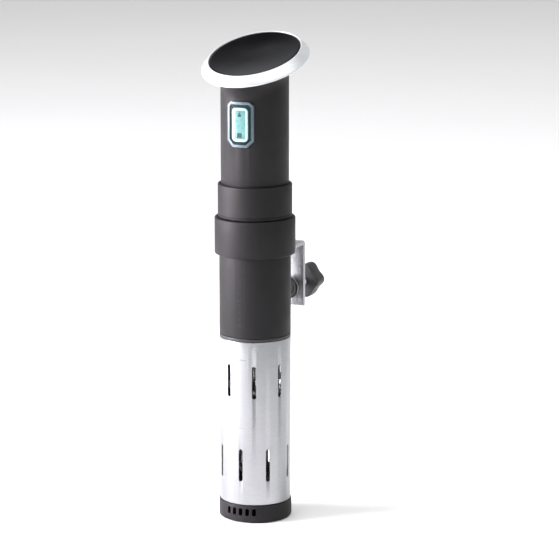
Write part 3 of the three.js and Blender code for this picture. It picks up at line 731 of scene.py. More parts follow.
def flare_ring(share, inward=0):
    """A ring of the body between its round end (share 0) and its slanted oval rim (share 1)."""
    mine = sizes()
    spread = share ** 2.2
    under_bezel = -mine.bezel_height - GAP
    rim_centre, rim_x, rim_slope, tilt = oval(-2 * MM, under_bezel)
    rim_y = rim_slope * math.cos(tilt)
    half_x = mine.body_radius + (rim_x - mine.body_radius) * spread - inward
    half_y = mine.body_radius + (rim_y - mine.body_radius) * spread - inward
    centre_y = rim_centre.y * spread
    rise = rim_slope * math.sin(tilt)
    centre = Vector((0, centre_y, rim_centre.z - mine.flare * (1 - share)))
    return centre, half_x, math.hypot(half_y, rise), math.atan2(rise, half_y)


def front(outline, z, depth=40 * MM, start=0):
    """A prism of a front outline in x and height, from near the axis out past the body."""
    upright = Matrix.Translation((0, -start, z)) @ Matrix.Rotation(math.pi / 2, 4, "X")
    return prism("front_tool", outline, depth, upright)


def key_outline(grow):
    """The start key's outline, grown on all sides."""
    mine = sizes()
    return oblong(mine.key_width / 2 + grow, mine.key_height / 2 + grow, mine.key_corner + grow)


def frame_outline(grow, fillet=0.5 * MM):
    """The key frame's octagon, grown on all sides, with smaller corners at the top."""
    mine = sizes()
    half_x = mine.key_width / 2 + mine.key_margin + grow
    half_y = mine.key_height / 2 + mine.key_margin + grow
    top, bottom = (corner + grow * (2 - math.sqrt(2)) for corner in (3 * MM, 5 * MM))
    right = [
        (half_x - bottom, -half_y), (half_x, bottom - half_y),
        (half_x, half_y - top), (half_x - top, half_y)]
    left = [(-x, y) for x, y in reversed(right)]
    return [(x, y, fillet) for x, y in right + left]


def key_level():
    return middle("key_bezel").z


# ---------------------------------------------------------------- operators, one for each piece


class MakeBody(bpy.types.Operator):
    """Body shell: a round tube that widens into the slanted head, with the key's window."""

    bl_idname = "circulator.make_body"
    bl_label = "Body shell"
    bl_options = {"REGISTER", "UNDO"}

    def execute(self, context):
        mine = sizes()
        foot = low("body_shell").z
        steps = 14
        shares = [i / steps for i in range(steps + 1)]
        inner = mine.body_radius - mine.body_wall
        outside = [flare_ring(share) for share in shares]
        inside = [flare_ring(share, mine.body_wall) for share in reversed(shares)]
        shell = ringed("casing_body", [
            (Vector((0, 0, foot)), mine.body_radius, mine.body_radius, 0), *outside, *inside,
            (Vector((0, 0, foot)), inner, inner, 0)], True, WIDE)
        carve(
            shell, front(key_outline(SLIP), key_level()),
            along_y(rod("gland_hole", 5.8 * MM, 10 * MM, 40 * MM), z=middle("cord_gland").z))
        soft_edges(shell, 0.3 * MM, 2, 55)
        place(shell, LOOKS["casing"], "housing", "body_shell", slot="satin_black")
        return {"FINISHED"}


class MakeBezel(bpy.types.Operator):
    """Bezel ring: a satin silver cone round the panel, with a ledge inside that carries it."""

    bl_idname = "circulator.make_bezel"
    bl_label = "Bezel ring"
    bl_options = {"REGISTER", "UNDO"}

    def execute(self, context):
        mine = sizes()
        bottom = -mine.bezel_height
        ledge = -15 * MM
        shelf = bottom + 3 * MM
        ring = oval_solid("head_bezel", [
            (ledge, bottom), (mine.bezel_width, bottom, 0.5 * MM),
            (mine.bezel_width, -mine.bezel_drop, 0.7 * MM), (0.5 * MM, -0.1 * MM, 0.5 * MM),
            (0, -0.25 * MM, 0.2 * MM), (0, shelf), (ledge, shelf)], True)
        place(ring, LOOKS["bezel"], "housing", "bezel_ring", slot="silver_ring", angle=50)
        return {"FINISHED"}


class MakePanel(bpy.types.Operator):
    """Control panel: dished black glass with a polished edge."""

    bl_idname = "circulator.make_panel"
    bl_label = "Control panel"
    bl_options = {"REGISTER", "UNDO"}

    def execute(self, context):
        mine = sizes()
        edge, top, bottom = -GAP, -SINK, -SINK - PANEL_THICK
        section = [(edge - 12 * MM, bottom), (edge, bottom, 0.3 * MM), (edge, top, 0.6 * MM)]
        insets = (2, 4, 8, 13, 19, 25, 30, 33)
        deepest = insets[-1]
        for inset in insets:
            share = 1 - ((deepest - inset) / deepest) ** 2
            section.append((edge - inset * MM, top - mine.dish * share))
        glass = oval_solid("control_glass", section, False)
        place(glass, LOOKS["panel"], "housing", "control_panel", slot="gloss_black", angle=60)
        return {"FINISHED"}


class MakeKey(bpy.types.Operator):
    """Start key with its light octagonal frame and its dark surround."""

    bl_idname = "circulator.make_key"
    bl_label = "Start key"
    bl_options = {"REGISTER", "UNDO"}

    def execute(self, context):
        mine = sizes()
        level = key_level()
        span = (level - mine.key_height, level + mine.key_height)
        wall = mine.body_radius + GAP
        rim_proud, well_proud = 1.5 * MM, 0.9 * MM
        rim = sleeve("key_frame", wall + rim_proud, wall, *span, facets=FINE)
        overlap(rim, front(frame_outline(0), level))
        carve(rim, front(frame_outline(-mine.key_rim, 0.8 * MM), level))
        soft_edges(rim, 0.45 * MM, 3, 50)
        place(rim, LOOKS["key_frame"], "housing", "key_bezel", slot="silver_ring")

        well = sleeve("key_well", wall + well_proud, wall, *span, facets=FINE)
        overlap(well, front(frame_outline(-mine.key_rim - GAP, 0.8 * MM), level))
        carve(well, front(key_outline(SLIP), level))
        place(well, LOOKS["key_well"], "housing", "key_surround", slot="dark_plastic")

        front_face = mine.body_radius + KEY_PROUD
        inside = mine.body_radius - mine.body_wall - SLIP
        cap = sleeve("start_key_cap", front_face, inside - 0.4 * MM, *span, facets=FINE)
        overlap(cap, front(key_outline(0), level))
        soft_edges(cap, 0.7 * MM, 4, 50)
        half, mark_rise, mark_deep = 1.9 * MM, 8.2 * MM, 0.5 * MM
        start_mark = [(-half, -half, half / 4), (half, -half, half / 4), (0, 1.1 * half, half / 4)]
        stop_mark = oblong(half, half, half / 5)
        for outline, rise in ((start_mark, mark_rise), (stop_mark, -mark_rise)):
            carve(cap, front(outline, level + rise, start=front_face - mark_deep))
        lip = 1.6 * MM
        flange = sleeve("key_flange", inside, inside - lip, *span, facets=FINE)
        overlap(flange, front(key_outline(lip), level))
        weld(cap, flange)
        place(cap, LOOKS["key"], "key", "start_key", slot="key_teal")
        return {"FINISHED"}


class MakeCollar(bpy.types.Operator):
    """Joint collar between the body and the lower tube, with a fine groove near its foot."""

    bl_idname = "circulator.make_collar"
    bl_label = "Joint collar"
    bl_options = {"REGISTER", "UNDO"}

    def execute(self, context):
        mine = sizes()
        top = high("joint_collar").z
        outer = high("joint_collar").x
        tube_top = high("lower_tube").z
        bottom = tube_top + GAP
        spigot = outer - 2.9 * MM
        inner = spigot - 3.6 * MM
        shelf = low("body_shell").z - GAP
        under_shelf = shelf - 4 * MM
        foot = low("joint_collar").z
        socket = mine.body_radius + GAP
        shaft_room = 5 * MM
        groove, groove_low = outer - 0.35 * MM, bottom + 2 * MM
        section = [
            (inner, foot), (spigot, foot, 0.8 * MM), (spigot, bottom),
            (outer, bottom, 0.7 * MM), (outer, groove_low), (groove, groove_low + 0.2 * MM),
            (groove, groove_low + 0.7 * MM), (outer, groove_low + 0.9 * MM),
            (outer, top, 1.0 * MM), (socket, top, 0.3 * MM), (socket, shelf),
            (shaft_room, shelf), (shaft_room, under_shelf), (inner, under_shelf)]
        collar = spun("casing_collar", section, WIDE)
        below, above = shelf - 10 * MM, shelf + 10 * MM
        carve(collar, rod_at("wireway", (0, 18 * MM), 3 * MM, below, above))
        for x in (-11 * MM, 11 * MM):
            carve(collar, rod_at("screw_hole", (x, 0), 1.6 * MM, below, above, facets=16))
        place(collar, LOOKS["casing"], "housing", "joint_collar", slot="satin_black")
        return {"FINISHED"}


class MakeLowerTube(bpy.types.Operator):
    """Lower tube that the clamp slides on, with a row of fine height marks."""

    bl_idname = "circulator.make_lower_tube"
    bl_label = "Lower tube"
    bl_options = {"REGISTER", "UNDO"}

    def execute(self, context):
        radius = high("lower_tube").x
        start, end = low("lower_tube").z, high("lower_tube").z
        tube = sleeve("lower_tube_shell", radius, radius - TUBE_WALL, start, end, 0.4 * MM, WIDE)
        marks, first, pitch = 9, 8 * MM, 5 * MM
        for i in range(marks):
            level = start + first + pitch * i
            half = (2.5 if i % 2 else 4.5) * MM
            carve(tube, block(
                "tube_mark", (-half, -radius - MM, level - 0.25 * MM),
                (half, 0.3 * MM - radius, level + 0.25 * MM)))
        place(tube, LOOKS["casing"], "housing", "lower_tube", slot="satin_black")
        return {"FINISHED"}


class MakeSkirt(bpy.types.Operator):
    """Steel skirt with two rows of round-ended water slots and two level lines."""

    bl_idname = "circulator.make_skirt"
    bl_label = "Skirt"
    bl_options = {"REGISTER", "UNDO"}

    def execute(self, context):
        mine = sizes()
        radius = high("skirt").x
        start, end = low("skirt").z, high("skirt").z
        skirt = sleeve("skirt_shell", radius, radius - SKIRT_WALL, start, end, 0.4 * MM, FINE)
        half = mine.slot_width / 2
        outline = oblong(half, mine.slot_height / 2, 0.98 * half)
        step = FULL / mine.slots_round
        row_inset = 32 * MM
        for row, level in enumerate((start + row_inset, end - row_inset)):
            for i in range(mine.slots_round):
                slot = front(outline, level, 14 * MM, 20 * MM)
                carve(skirt, turn(slot, (i + row / 2) * step))
        soft_edges(skirt, 0.22 * MM, 2, 55)
        for level in (end - 14 * MM, start + 62 * MM):
            carve(skirt, block(
                "level_line", (-7 * MM, -radius - MM, level - 0.3 * MM),
                (7 * MM, -radius * 0.975, level + 0.3 * MM)))
        place(skirt, LOOKS["steel"], "skirt", "skirt", slot="steel")
        return {"FINISHED"}


class MakeFoot(bpy.types.Operator):
    """Foot cap with inlet slots underneath and outlet slots at the front."""

    bl_idname = "circulator.make_foot"
    bl_label = "Foot cap"
    bl_options = {"REGISTER", "UNDO"}

    def execute(self, context):
        outer = high("foot_cap").x
        shoulder = low("skirt").z - GAP
        top = high("foot_cap").z
        spigot = high("skirt").x - SKIRT_WALL - SLIP
        chamber = spigot - 4.6 * MM
        floor = 4 * MM
        cup = spun("foot_cup", [
            (0, 0), (outer, 0, 1.6 * MM), (outer, shoulder, 0.6 * MM), (spigot, shoulder),
            (spigot, top, 0.8 * MM), (chamber, top, 0.8 * MM), (chamber, floor, 1.5 * MM), (0, floor)], WIDE)
        inlets = 8
        half = 1.5 * MM
        inlet = oblong(5 * MM, half, 0.95 * half, 14 * MM)
        for i in range(inlets):
            slot = prism("inlet", inlet, 2 * floor, Matrix.Translation((0, 0, -floor / 2)))
            carve(cup, turn(slot, FULL * i / inlets))
        half = 1.6 * MM
        outlet = oblong(half, 3 * MM, 0.9 * half)
        for i in range(-2, 3):
            slot = front(outlet, 8.5 * MM, 12 * MM, 20 * MM)
            carve(cup, turn(slot, math.radians(11 * i)))
        soft_edges(cup, 0.25 * MM, 2, 55)
        place(cup, LOOKS["casing"], "foot", "foot_cap", slot="satin_black")
        return {"FINISHED"}


class MakeClampCollar(bpy.types.Operator):
    """Clamp collar that slides on the lower tube, with its rear tab and the lock's boss."""

    bl_idname = "circulator.make_clamp_collar"
    bl_label = "Clamp collar"
    bl_options = {"REGISTER", "UNDO"}

    def execute(self, context):
        bore = high("lower_tube").x + SLIP
        outer = bore + CLAMP_WALL
        ring_height = 28.7 * MM
        top = high("clamp_collar").z
        tab_low = low("clamp_collar").z
        bottom = top - ring_height
        back = low("clamp_bracket").y - GAP
        blank = bore - 6 * MM
        ring = spun("clamp_ring", [
            (blank, bottom), (outer, bottom, 0.8 * MM), (outer, top, 1.1 * MM), (blank, top)], WIDE)
        tab = block("tab", (-13 * MM, 14 * MM, tab_low), (13 * MM, back, bottom + 6 * MM), 1.6 * MM, 4)
        boss = rod("boss", 7.5 * MM, 14 * MM, 38 * MM, 0.8 * MM, 48)
        weld(ring, tab, lock_placed(boss))
        carve(
            ring, rod("bore", bore, tab_low - MM, top + MM, facets=WIDE),
            lock_placed(rod("pocket", 4.4 * MM, 20 * MM, shoe_ends()[1] + GAP, facets=48)),
            lock_placed(rod("lock_bore", 2.9 * MM, 20 * MM, 45 * MM)))
        for node in BRACKET_SCREWS:
            hole = rod("screw_hole", BOLT_HOLE, back - 5 * MM, back + 5 * MM, facets=24)
            carve(ring, along_y(hole, z=middle(node).z))
        soft_edges(ring, 0.35 * MM, 2, 55)
        place(ring, LOOKS["casing"], "clamp", "clamp_collar", slot="satin_black")
        return {"FINISHED"}


def lock_placed(piece):
    """Lays a piece made along Z along the lock's own line, out from the axis."""
    bearing = math.radians(135)
    piece.matrix_world = (
        Matrix.Translation((0, 0, middle("lock_screw").z))
        @ Matrix.Rotation(bearing - math.pi / 2, 4, "Z") @ Matrix.Rotation(-math.pi / 2, 4, "X"))
    return settle(piece)


def shoe_ends():
    """How far out the lock's shoe starts and ends, from the axis."""
    start = high("lower_tube").x + SLIP + 0.2 * MM
    return start, start + 1.45 * MM


class MakeBracket(bpy.types.Operator):
    """Clamp bracket bent from steel strip, its two screws and the brass nut in its outer leg."""

    bl_idname = "circulator.make_bracket"
    bl_label = "Clamp bracket"
    bl_options = {"REGISTER", "UNDO"}

    def execute(self, context):
        start, end = low("clamp_bracket"), high("clamp_bracket")
        sheet, eased = 3.5 * MM, 1.2 * MM
        inner_bend, outer_bend = 1.5 * MM, 4.5 * MM
        outline = [
            (start.y, start.z, eased), (start.y + sheet, start.z, eased),
            (start.y + sheet, end.z - sheet, inner_bend), (end.y - sheet, end.z - sheet, inner_bend),
            (end.y - sheet, start.z, eased), (end.y, start.z, eased),
            (end.y, end.z, outer_bend), (start.y, end.z, outer_bend)]
        side_on = Matrix(((0, 0, 1, start.x), (1, 0, 0, 0), (0, 1, 0, 0), (0, 0, 0, 1)))
        strip = prism("clamp_strip", outline, end.x - start.x, side_on)
        screw_level = middle("clamp_screw").z
        nut_body = 6 * MM
        nut_hole = rod("nut_hole", nut_body + GAP, end.y - 10 * MM, end.y + 5 * MM, facets=48)
        carve(strip, along_y(nut_hole, z=screw_level))
        for node in BRACKET_SCREWS:
            hole = rod("screw_hole", BOLT_HOLE, start.y - 2 * MM, start.y + 6 * MM, facets=24)
            carve(strip, along_y(hole, z=middle(node).z))
        soft_edges(strip, 0.5 * MM, 3, 55)
        place(strip, LOOKS["steel"], "clamp", "clamp_bracket", slot="steel")
        shank, head = 1.5 * MM, 2.8 * MM
        for node in BRACKET_SCREWS:
            tip, top = low(node).y, high(node).y
            under = top - 1.5 * MM
            bolt = spun(node.replace("screw", "bolt"), [
                (0, tip), (shank, tip, 0.3 * MM), (shank, under), (head, under),
                (head, top, 0.7 * MM), (0, top)], 48)
            carve(bolt, prism(
                "socket", hexagon(1.25 * MM), 3 * MM, Matrix.Translation((0, 0, top - 0.9 * MM))))
            place(along_y(bolt, z=middle(node).z), LOOKS["turned"], "clamp", node, slot="steel")
        nut_start, nut_end = low("clamp_nut").y, high("clamp_nut").y - GAP
        bore, rim = 4.4 * MM, 8.5 * MM
        flange = nut_end - 4 * MM
        nut = spun("clamp_insert", [
            (bore, nut_start, 0.3 * MM), (nut_body, nut_start, 0.3 * MM), (nut_body, flange),
            (rim, flange, 0.3 * MM), (rim, nut_end - 1.2 * MM, 0.8 * MM),
            (6.6 * MM, nut_end, 0.4 * MM), (bore, nut_end, 0.4 * MM)], 72)
        place(along_y(nut, z=screw_level), LOOKS["brass"], "clamp", "clamp_nut", slot="brass")
        return {"FINISHED"}


def hexagon(radius):
    return star(radius, 0, 6, 6)


def star(radius, swing, lobes, points):
    """A lobed outline for a grip."""
    outline = []
    for i in range(points):
        angle = FULL * i / points
        reach = radius + swing * math.cos(lobes * angle)
        outline.append((reach * math.cos(angle), reach * math.sin(angle)))
    return outline


class MakeJaws(bpy.types.Operator):
    """Fixed jaw pad with ribs, and the swivel cup with its rubber face."""

    bl_idname = "circulator.make_jaws"
    bl_label = "Jaws"
    bl_options = {"REGISTER", "UNDO"}

    def execute(self, context):
        start, end = low("fixed_jaw_pad"), high("fixed_jaw_pad")
        pad = block("jaw_pad", start, end, 0.7 * MM)
        ribs = 6
        pitch = (end.z - start.z) / ribs
        for i in range(1, ribs):
            level = start.z + i * pitch
            carve(pad, block(
                "groove", (start.x - MM, end.y - 0.6 * MM, level - 0.5 * MM),
                (end.x + MM, end.y + MM, level + 0.5 * MM)))
        place(pad, LOOKS["rubber"], "clamp", "fixed_jaw_pad", slot="rubber")

        level = middle("clamp_screw").z
        face_front, cup_front, cup_back = low("swivel_face").y, low("swivel_cup").y, high("swivel_cup").y
        radius, seat, seat_floor = 9 * MM, 3.6 * MM, cup_back - 2.4 * MM
        cup = spun("swivel_dish", [
            (0, cup_front), (radius, cup_front, 0.3 * MM), (radius, cup_front + 1.2 * MM, 0.4 * MM),
            (5.6 * MM, cup_back, 0.4 * MM), (seat, cup_back, 0.2 * MM),
            (seat, seat_floor), (0, seat_floor)], 72, loop=False)
        place(along_y(cup, z=level), LOOKS["turned"], "jaw", "swivel_cup", slot="steel")
        groove = face_front + 0.5 * MM
        section = [(0, groove)]
        for inner in (2.2 * MM, 4.6 * MM, 7.0 * MM):
            section += [
                (inner - 0.5 * MM, groove), (inner - 0.3 * MM, face_front, 0.15 * MM),
                (inner + 0.9 * MM, face_front, 0.15 * MM), (inner + 1.1 * MM, groove)]
        section += [
            (radius - 0.4 * MM, groove, 0.2 * MM), (radius, groove + 0.4 * MM),
            (radius, cup_front - GAP, 0.3 * MM), (0, cup_front - GAP)]
        face = spun("swivel_rubber", section, 72, loop=False)
        place(along_y(face, z=level), LOOKS["rubber"], "jaw", "swivel_face", slot="rubber")
        return {"FINISHED"}


class MakeSpindle(bpy.types.Operator):
    """Clamp screw with a real thread, and its lobed knob."""

    bl_idname = "circulator.make_spindle"
    bl_label = "Clamp screw and knob"
    bl_options = {"REGISTER", "UNDO"}

    def execute(self, context):
        level = middle("clamp_screw").z
        start, end = low("clamp_screw").y, high("clamp_screw").y
        knob_front, knob_end = low("clamp_knob").y, high("clamp_knob").y
        shank = high("swivel_cup").y + 0.5 * MM
        shoulder = shank + 2.6 * MM
        crest, root, pitch = 4.0 * MM, 3.3 * MM, 3.0 * MM
        neck, plain = root - 0.1 * MM, crest - 0.1 * MM
        screw = threaded("clamp_thread", crest, root, pitch, shank + 2 * MM, knob_front + 4 * MM)
        tip = spun("spindle_tip", [
            (0, start), (neck, start, 0.5 * MM), (neck, shank, 0.1 * MM), (plain, shank, 0.4 * MM),
            (plain, shoulder, 0.4 * MM), (neck, shoulder), (0, shoulder)], 48)
        tail = rod("spindle_tail", plain, knob_front + 2 * MM, end, 0.4 * MM, 48)
        spindle = weld(tip, screw, tail)
        spindle.name = "clamp_spindle_screw"
        place(along_y(spindle, z=level), LOOKS["turned"], "clamp_spindle", "clamp_screw", slot="steel")
        grip = prism(
            "clamp_grip", star(13 * MM, 1.15 * MM, 5, 100), 14 * MM, Matrix.Translation((0, 0, knob_front)))
        soft_edges(grip, 1.6 * MM, 4, 60)
        hub_radius, dish = 7 * MM, knob_end - 0.8 * MM
        hub = spun("grip_hub", [
            (0, knob_front + MM), (hub_radius, knob_front + MM), (hub_radius, knob_end, 1.2 * MM),
            (5.4 * MM, knob_end, 0.4 * MM), (5.0 * MM, dish, 0.4 * MM), (0, dish)], 64)
        weld(grip, hub)
        carve(grip, rod("bore", 4.3 * MM, knob_front - 2 * MM, knob_front + 10 * MM, facets=48))
        place(along_y(grip, z=level), LOOKS["plastic"], "clamp_spindle", "clamp_knob", slot="dark_plastic")
        return {"FINISHED"}


def threaded(name, crest, root, pitch, start, end):
    """A screw thread along Z: one turn's outline, wound by a screw modifier and capped."""
    piece = seed(name, Vector((root, 0, start)))
    steps = [(root, 0), (root, 0.28), (crest, 0.42), (crest, 0.78), (root, 0.92), (root, 1)]
    walk([Vector((radius, 0, start + share * pitch)) for radius, share in steps])
    bpy.ops.object.mode_set(mode="OBJECT")
    turns = round((end - start) / pitch)
    modify(piece, "SCREW", angle=FULL, screw_offset=pitch, iterations=turns, steps=40,
           render_steps=40, use_merge_vertices=True, merge_threshold=1e-6, axis="Z")
    only(piece)
    bpy.ops.object.mode_set(mode="EDIT")
    bpy.ops.mesh.select_all(action="SELECT")
    bpy.ops.mesh.remove_doubles(threshold=1e-6)
    bpy.ops.mesh.select_mode(type="EDGE")
    bpy.ops.mesh.select_all(action="DESELECT")
    bpy.ops.mesh.select_non_manifold()
    bpy.ops.mesh.edge_face_add()
    closed_up()
    return piece


class MakeLock(bpy.types.Operator):
    """Height lock: rubber shoe, screw and its small lobed knob."""

    bl_idname = "circulator.make_lock"
    bl_label = "Height lock"
    bl_options = {"REGISTER", "UNDO"}

    def execute(self, context):
        shoe_start, shoe_end = shoe_ends()
        shoe = rod("lock_pad", 4 * MM, shoe_start, shoe_end, 0.3 * MM, 48)
        place(lock_placed(shoe), LOOKS["rubber"], "lock_shoe", "lock_shoe", slot="rubber")
        tip = shoe_end + GAP
        knob_front = 38.8 * MM
        knob_end = knob_front + 9 * MM
        screw = rod("lock_thumbscrew", 2.5 * MM, tip, knob_front + 6.2 * MM, 0.3 * MM, 40)
        place(lock_placed(screw), LOOKS["turned"], "lock_spindle", "lock_screw", slot="steel")
        grip = prism(
            "lock_grip", star(9 * MM, 0.65 * MM, 8, 96), knob_end - knob_front,
            Matrix.Translation((0, 0, knob_front)))
        soft_edges(grip, 1.1 * MM, 3, 60)
        dish_floor, above = knob_end - 0.8 * MM, knob_end + 0.2 * MM
        dish = spun("dish", [
            (0, dish_floor), (5 * MM, dish_floor, 0.3 * MM), (5.4 * MM, above), (0, above)], 48)
        bore_hole = rod("bore", 2.8 * MM, knob_front - MM, knob_front + 6.5 * MM, facets=32)
        carve(grip, dish, bore_hole)
        place(lock_placed(grip), LOOKS["plastic"], "lock_spindle", "lock_knob", slot="dark_plastic")
        return {"FINISHED"}


class MakeGland(bpy.types.Operator):
    """Cord gland: a saddle flange on the body and a ribbed nose with the cord's bore."""

    bl_idname = "circulator.make_gland"
    bl_label = "Cord gland"
    bl_options = {"REGISTER", "UNDO"}

    def execute(self, context):
        mine = sizes()
        level = middle("cord_gland").z
        inside, end = low("cord_gland").y, high("cord_gland").y
        wall = mine.body_radius + GAP
        flange = wall + 3.5 * MM
        saddle = rod("saddle", 7.6 * MM, 13 * MM, flange, 0.9 * MM, 64)
        along_y(saddle, z=level)
        carve(saddle, rod("wall", wall, level - 15 * MM, level + 15 * MM, facets=WIDE))
        body, groove, rib = 5.5 * MM, 4.9 * MM, 5.4 * MM
        nose = [(0, inside), (body, inside, 0.3 * MM), (body, flange + 0.6 * MM, 0.2 * MM)]
        for i in range(3):
            level_out = flange + (1.0 + 1.5 * i) * MM
            nose += [
                (groove, level_out, 0.2 * MM), (groove, level_out + 0.5 * MM, 0.2 * MM),
                (rib, level_out + 0.8 * MM, 0.2 * MM)]
        nose += [(5.2 * MM, end, 0.6 * MM), (0, end)]
        stem = along_y(spun("stem", nose, 64), z=level)
        weld(saddle, stem)
        carve(saddle, along_y(rod("cord_bore", 3.7 * MM, inside - MM, end + MM, facets=48), z=level))
        saddle.name = "gland_nose"
        place(saddle, LOOKS["rubber"], "housing", "cord_gland", slot="rubber")
        return {"FINISHED"}


class MakeBulkhead(bpy.types.Operator):
    """Bulkhead that closes the dry end, with the seal round it and the seal on the shaft."""

    bl_idname = "circulator.make_bulkhead"
    bl_label = "Bulkhead and seals"
    bl_options = {"REGISTER", "UNDO"}

    def execute(self, context):
        spigot = high("skirt").x - SKIRT_WALL - SLIP
        groove = spigot - 2.2 * MM
        bottom, top = low("bulkhead").z, high("bulkhead").z
        groove_low, groove_high = low("skirt_seal").z - GAP, high("skirt_seal").z + GAP
        flange_low = high("skirt").z + GAP
        flange_high = low("lower_tube").z - GAP
        flange = high("lower_tube").x
        upper = flange - TUBE_WALL - GAP
        plug = spun("bulkhead_plug", [
            (0, bottom), (spigot, bottom, 1.2 * MM), (spigot, groove_low, 0.2 * MM),
            (groove, groove_low, 0.3 * MM), (groove, groove_high, 0.3 * MM),
            (spigot, groove_high, 0.2 * MM), (spigot, flange_low), (flange, flange_low, 0.3 * MM),
            (flange, flange_high, 0.3 * MM), (upper, flange_high), (upper, top, 0.6 * MM), (0, top)], WIDE)
        for spot, radius in through_holes():
            carve(plug, rod_at("hole", spot, radius, bottom - MM, top + MM))
        seal_radius = high("shaft_seal").x + GAP
        carve(plug, rod("seal_seat", seal_radius, low("shaft_seal").z - GAP, top + MM, facets=48))
        blind = high("stay_rod_a").z + 1.3 * MM
        for mark in STAYS:
            spot = middle("stay_rod_" + mark)
            carve(plug, rod_at("stay_seat", spot, STAY_HOLE, bottom - MM, blind, facets=24))
        place(plug, LOOKS["plastic"], "housing", "bulkhead", slot="dark_plastic")

        start, end = low("skirt_seal"), high("skirt_seal")
        ring = sleeve("skirt_o_ring", end.x, end.x - 2.0 * MM, start.z, end.z, 0.9 * MM, WIDE)
        place(ring, LOOKS["rubber"], "housing", "skirt_seal", slot="rubber")
        lip_low, lip_high = low("shaft_seal").z, high("shaft_seal").z
        rim, throat, lip_edge = high("shaft_seal").x, 4.6 * MM, 3.4 * MM
        lip = spun("shaft_lip_seal", [
            (lip_edge, lip_low + MM), (rim, lip_low, 0.4 * MM), (rim, lip_high, 0.4 * MM),
            (throat, lip_high, 0.3 * MM), (throat, lip_low + 2.4 * MM), (lip_edge, lip_low + 1.8 * MM)], 64)
        place(lip, LOOKS["rubber"], "housing", "shaft_seal", slot="rubber")
        return {"FINISHED"}


def through_holes():
    """Places and radii of the holes for the shaft, the heater's legs and the probes."""
    leg_hole = HEATER_ROD + GAP
    holes = [((0, 0), 4.6 * MM), ((coil_radius(), 0), leg_hole), ((0, -probe_circle()), leg_hole)]
    for node in PROBES:
        holes.append((middle(node), (high(node).x - low(node).x) / 2 + GAP))
    return holes


def coil_radius():
    return high("heater_coil").x - HEATER_ROD


def probe_circle():
    return Vector(middle("temperature_probe")[:2]).length


def smooth_path(points, steps):
    """A smooth line through the points."""
    line = []
    ends = [points[0]] + points + [points[-1]]
    for a, b, c, d in zip(ends, ends[1:], ends[2:], ends[3:]):
        bend, swing = 2 * a - 5 * b + 4 * c - d, 3 * b - a - 3 * c + d
        for i in range(steps):
            t = i / steps
            line.append(0.5 * (2 * b + (c - a) * t + bend * t ** 2 + swing * t ** 3))
    return line + [points[-1]]


def bent_rod(name, line, radius):
    """A round rod along a line of points."""
    clear()
    bpy.ops.curve.primitive_nurbs_path_add()
    piece = bpy.context.object
    piece.name = name
    curve = piece.data
    curve.splines.clear()
    spline = curve.splines.new("POLY")
    spline.points.add(len(line) - 1)
    for point, spot in zip(spline.points, line):
        point.co = (*spot, 1)
    curve.bevel_depth = radius
    curve.bevel_resolution = 6
    curve.use_fill_caps = True
    only(piece)
    bpy.ops.object.convert(target="MESH")
    bpy.ops.object.mode_set(mode="EDIT")
    closed_up()
    return piece


class MakeHeater(bpy.types.Operator):
    """Heating element: one steel rod that comes down, winds into a coil and goes back up inside it."""

    bl_idname = "circulator.make_heater"
    bl_label = "Heater coil"
    bl_options = {"REGISTER", "UNDO"}

    def execute(self, context):
        coil = coil_radius()
        leg = probe_circle()
        top = high("heater_coil").z
        start_level = low("bulkhead").z - 21 * MM
        bend, pitch, turns = 8 * MM, 13 * MM, 4
        straight = (top, top - 10 * MM, top - 20 * MM, start_level + bend)
        path = [Vector((coil, 0, level)) for level in straight]

        def wind(angle, radius, level):
            path.append(Vector((radius * math.cos(angle), radius * math.sin(angle), level)))

        for angle in (math.radians(30), math.radians(60)):
            wind(bend * (1 - math.cos(angle)) / coil, coil, start_level + bend * (1 - math.sin(angle)))
        first = bend / coil
        last = FULL * turns + math.radians(140)
        count = turns * 12 + 4
        for i in range(count + 1):
            angle = first + (last - first) * i / count
            wind(angle, coil, start_level - pitch * (angle - first) / FULL)
        bottom = start_level - pitch * (last - first) / FULL
        for degrees, inward, drop in ((165, 0.8, 0.8), (190, 2.4, 1.6), (214, 4.4, 2.2)):
            wind(math.radians(degrees), coil - inward * MM, bottom - drop * MM)
        lowest = bottom - 2.5 * MM
        for angle in (0, math.radians(30), math.radians(60), math.radians(90)):
            path.append(Vector((bend * (math.sin(angle) - 1), -leg, lowest + bend * (1 - math.cos(angle)))))
        leg_low = lowest + bend
        for share in (0.33, 0.67, 1):
            path.append(Vector((0, -leg, leg_low + share * (top - leg_low))))
        piece = bent_rod("heating_element", smooth_path(path, 4), HEATER_ROD)
        place(piece, LOOKS["heater"], "housing", "heater_coil", slot="steel")
        return {"FINISHED"}


class MakeRods(bpy.types.Operator):
    """Stay rods, probes and the drive shaft, each turned with rounded or chamfered ends."""

    bl_idname = "circulator.make_rods"
    bl_label = "Rods, probes and shaft"
    bl_options = {"REGISTER", "UNDO"}

    def execute(self, context):
        for mark in STAYS:
            upright("stay_rod_" + mark, "stay_" + mark, 0.5 * MM, LOOKS["turned"], "housing")
        for node in PROBES:
            radius = (high(node).x - low(node).x) / 2
            upright(node, node + "_rod", 0.95 * radius, LOOKS["turned"], "housing")
        upright("drive_shaft", "impeller_shaft", 0.6 * MM, LOOKS["turned"], "rotor")
        return {"FINISHED"}


def upright(node, name, edge, look, body):
    """A rod standing in a node's place, its ends eased."""
    start, end = low(node), high(node)
    piece = rod_at(name, middle(node), (end.x - start.x) / 2, start.z, end.z, edge, 48)
    place(piece, look, body, node, slot="steel")


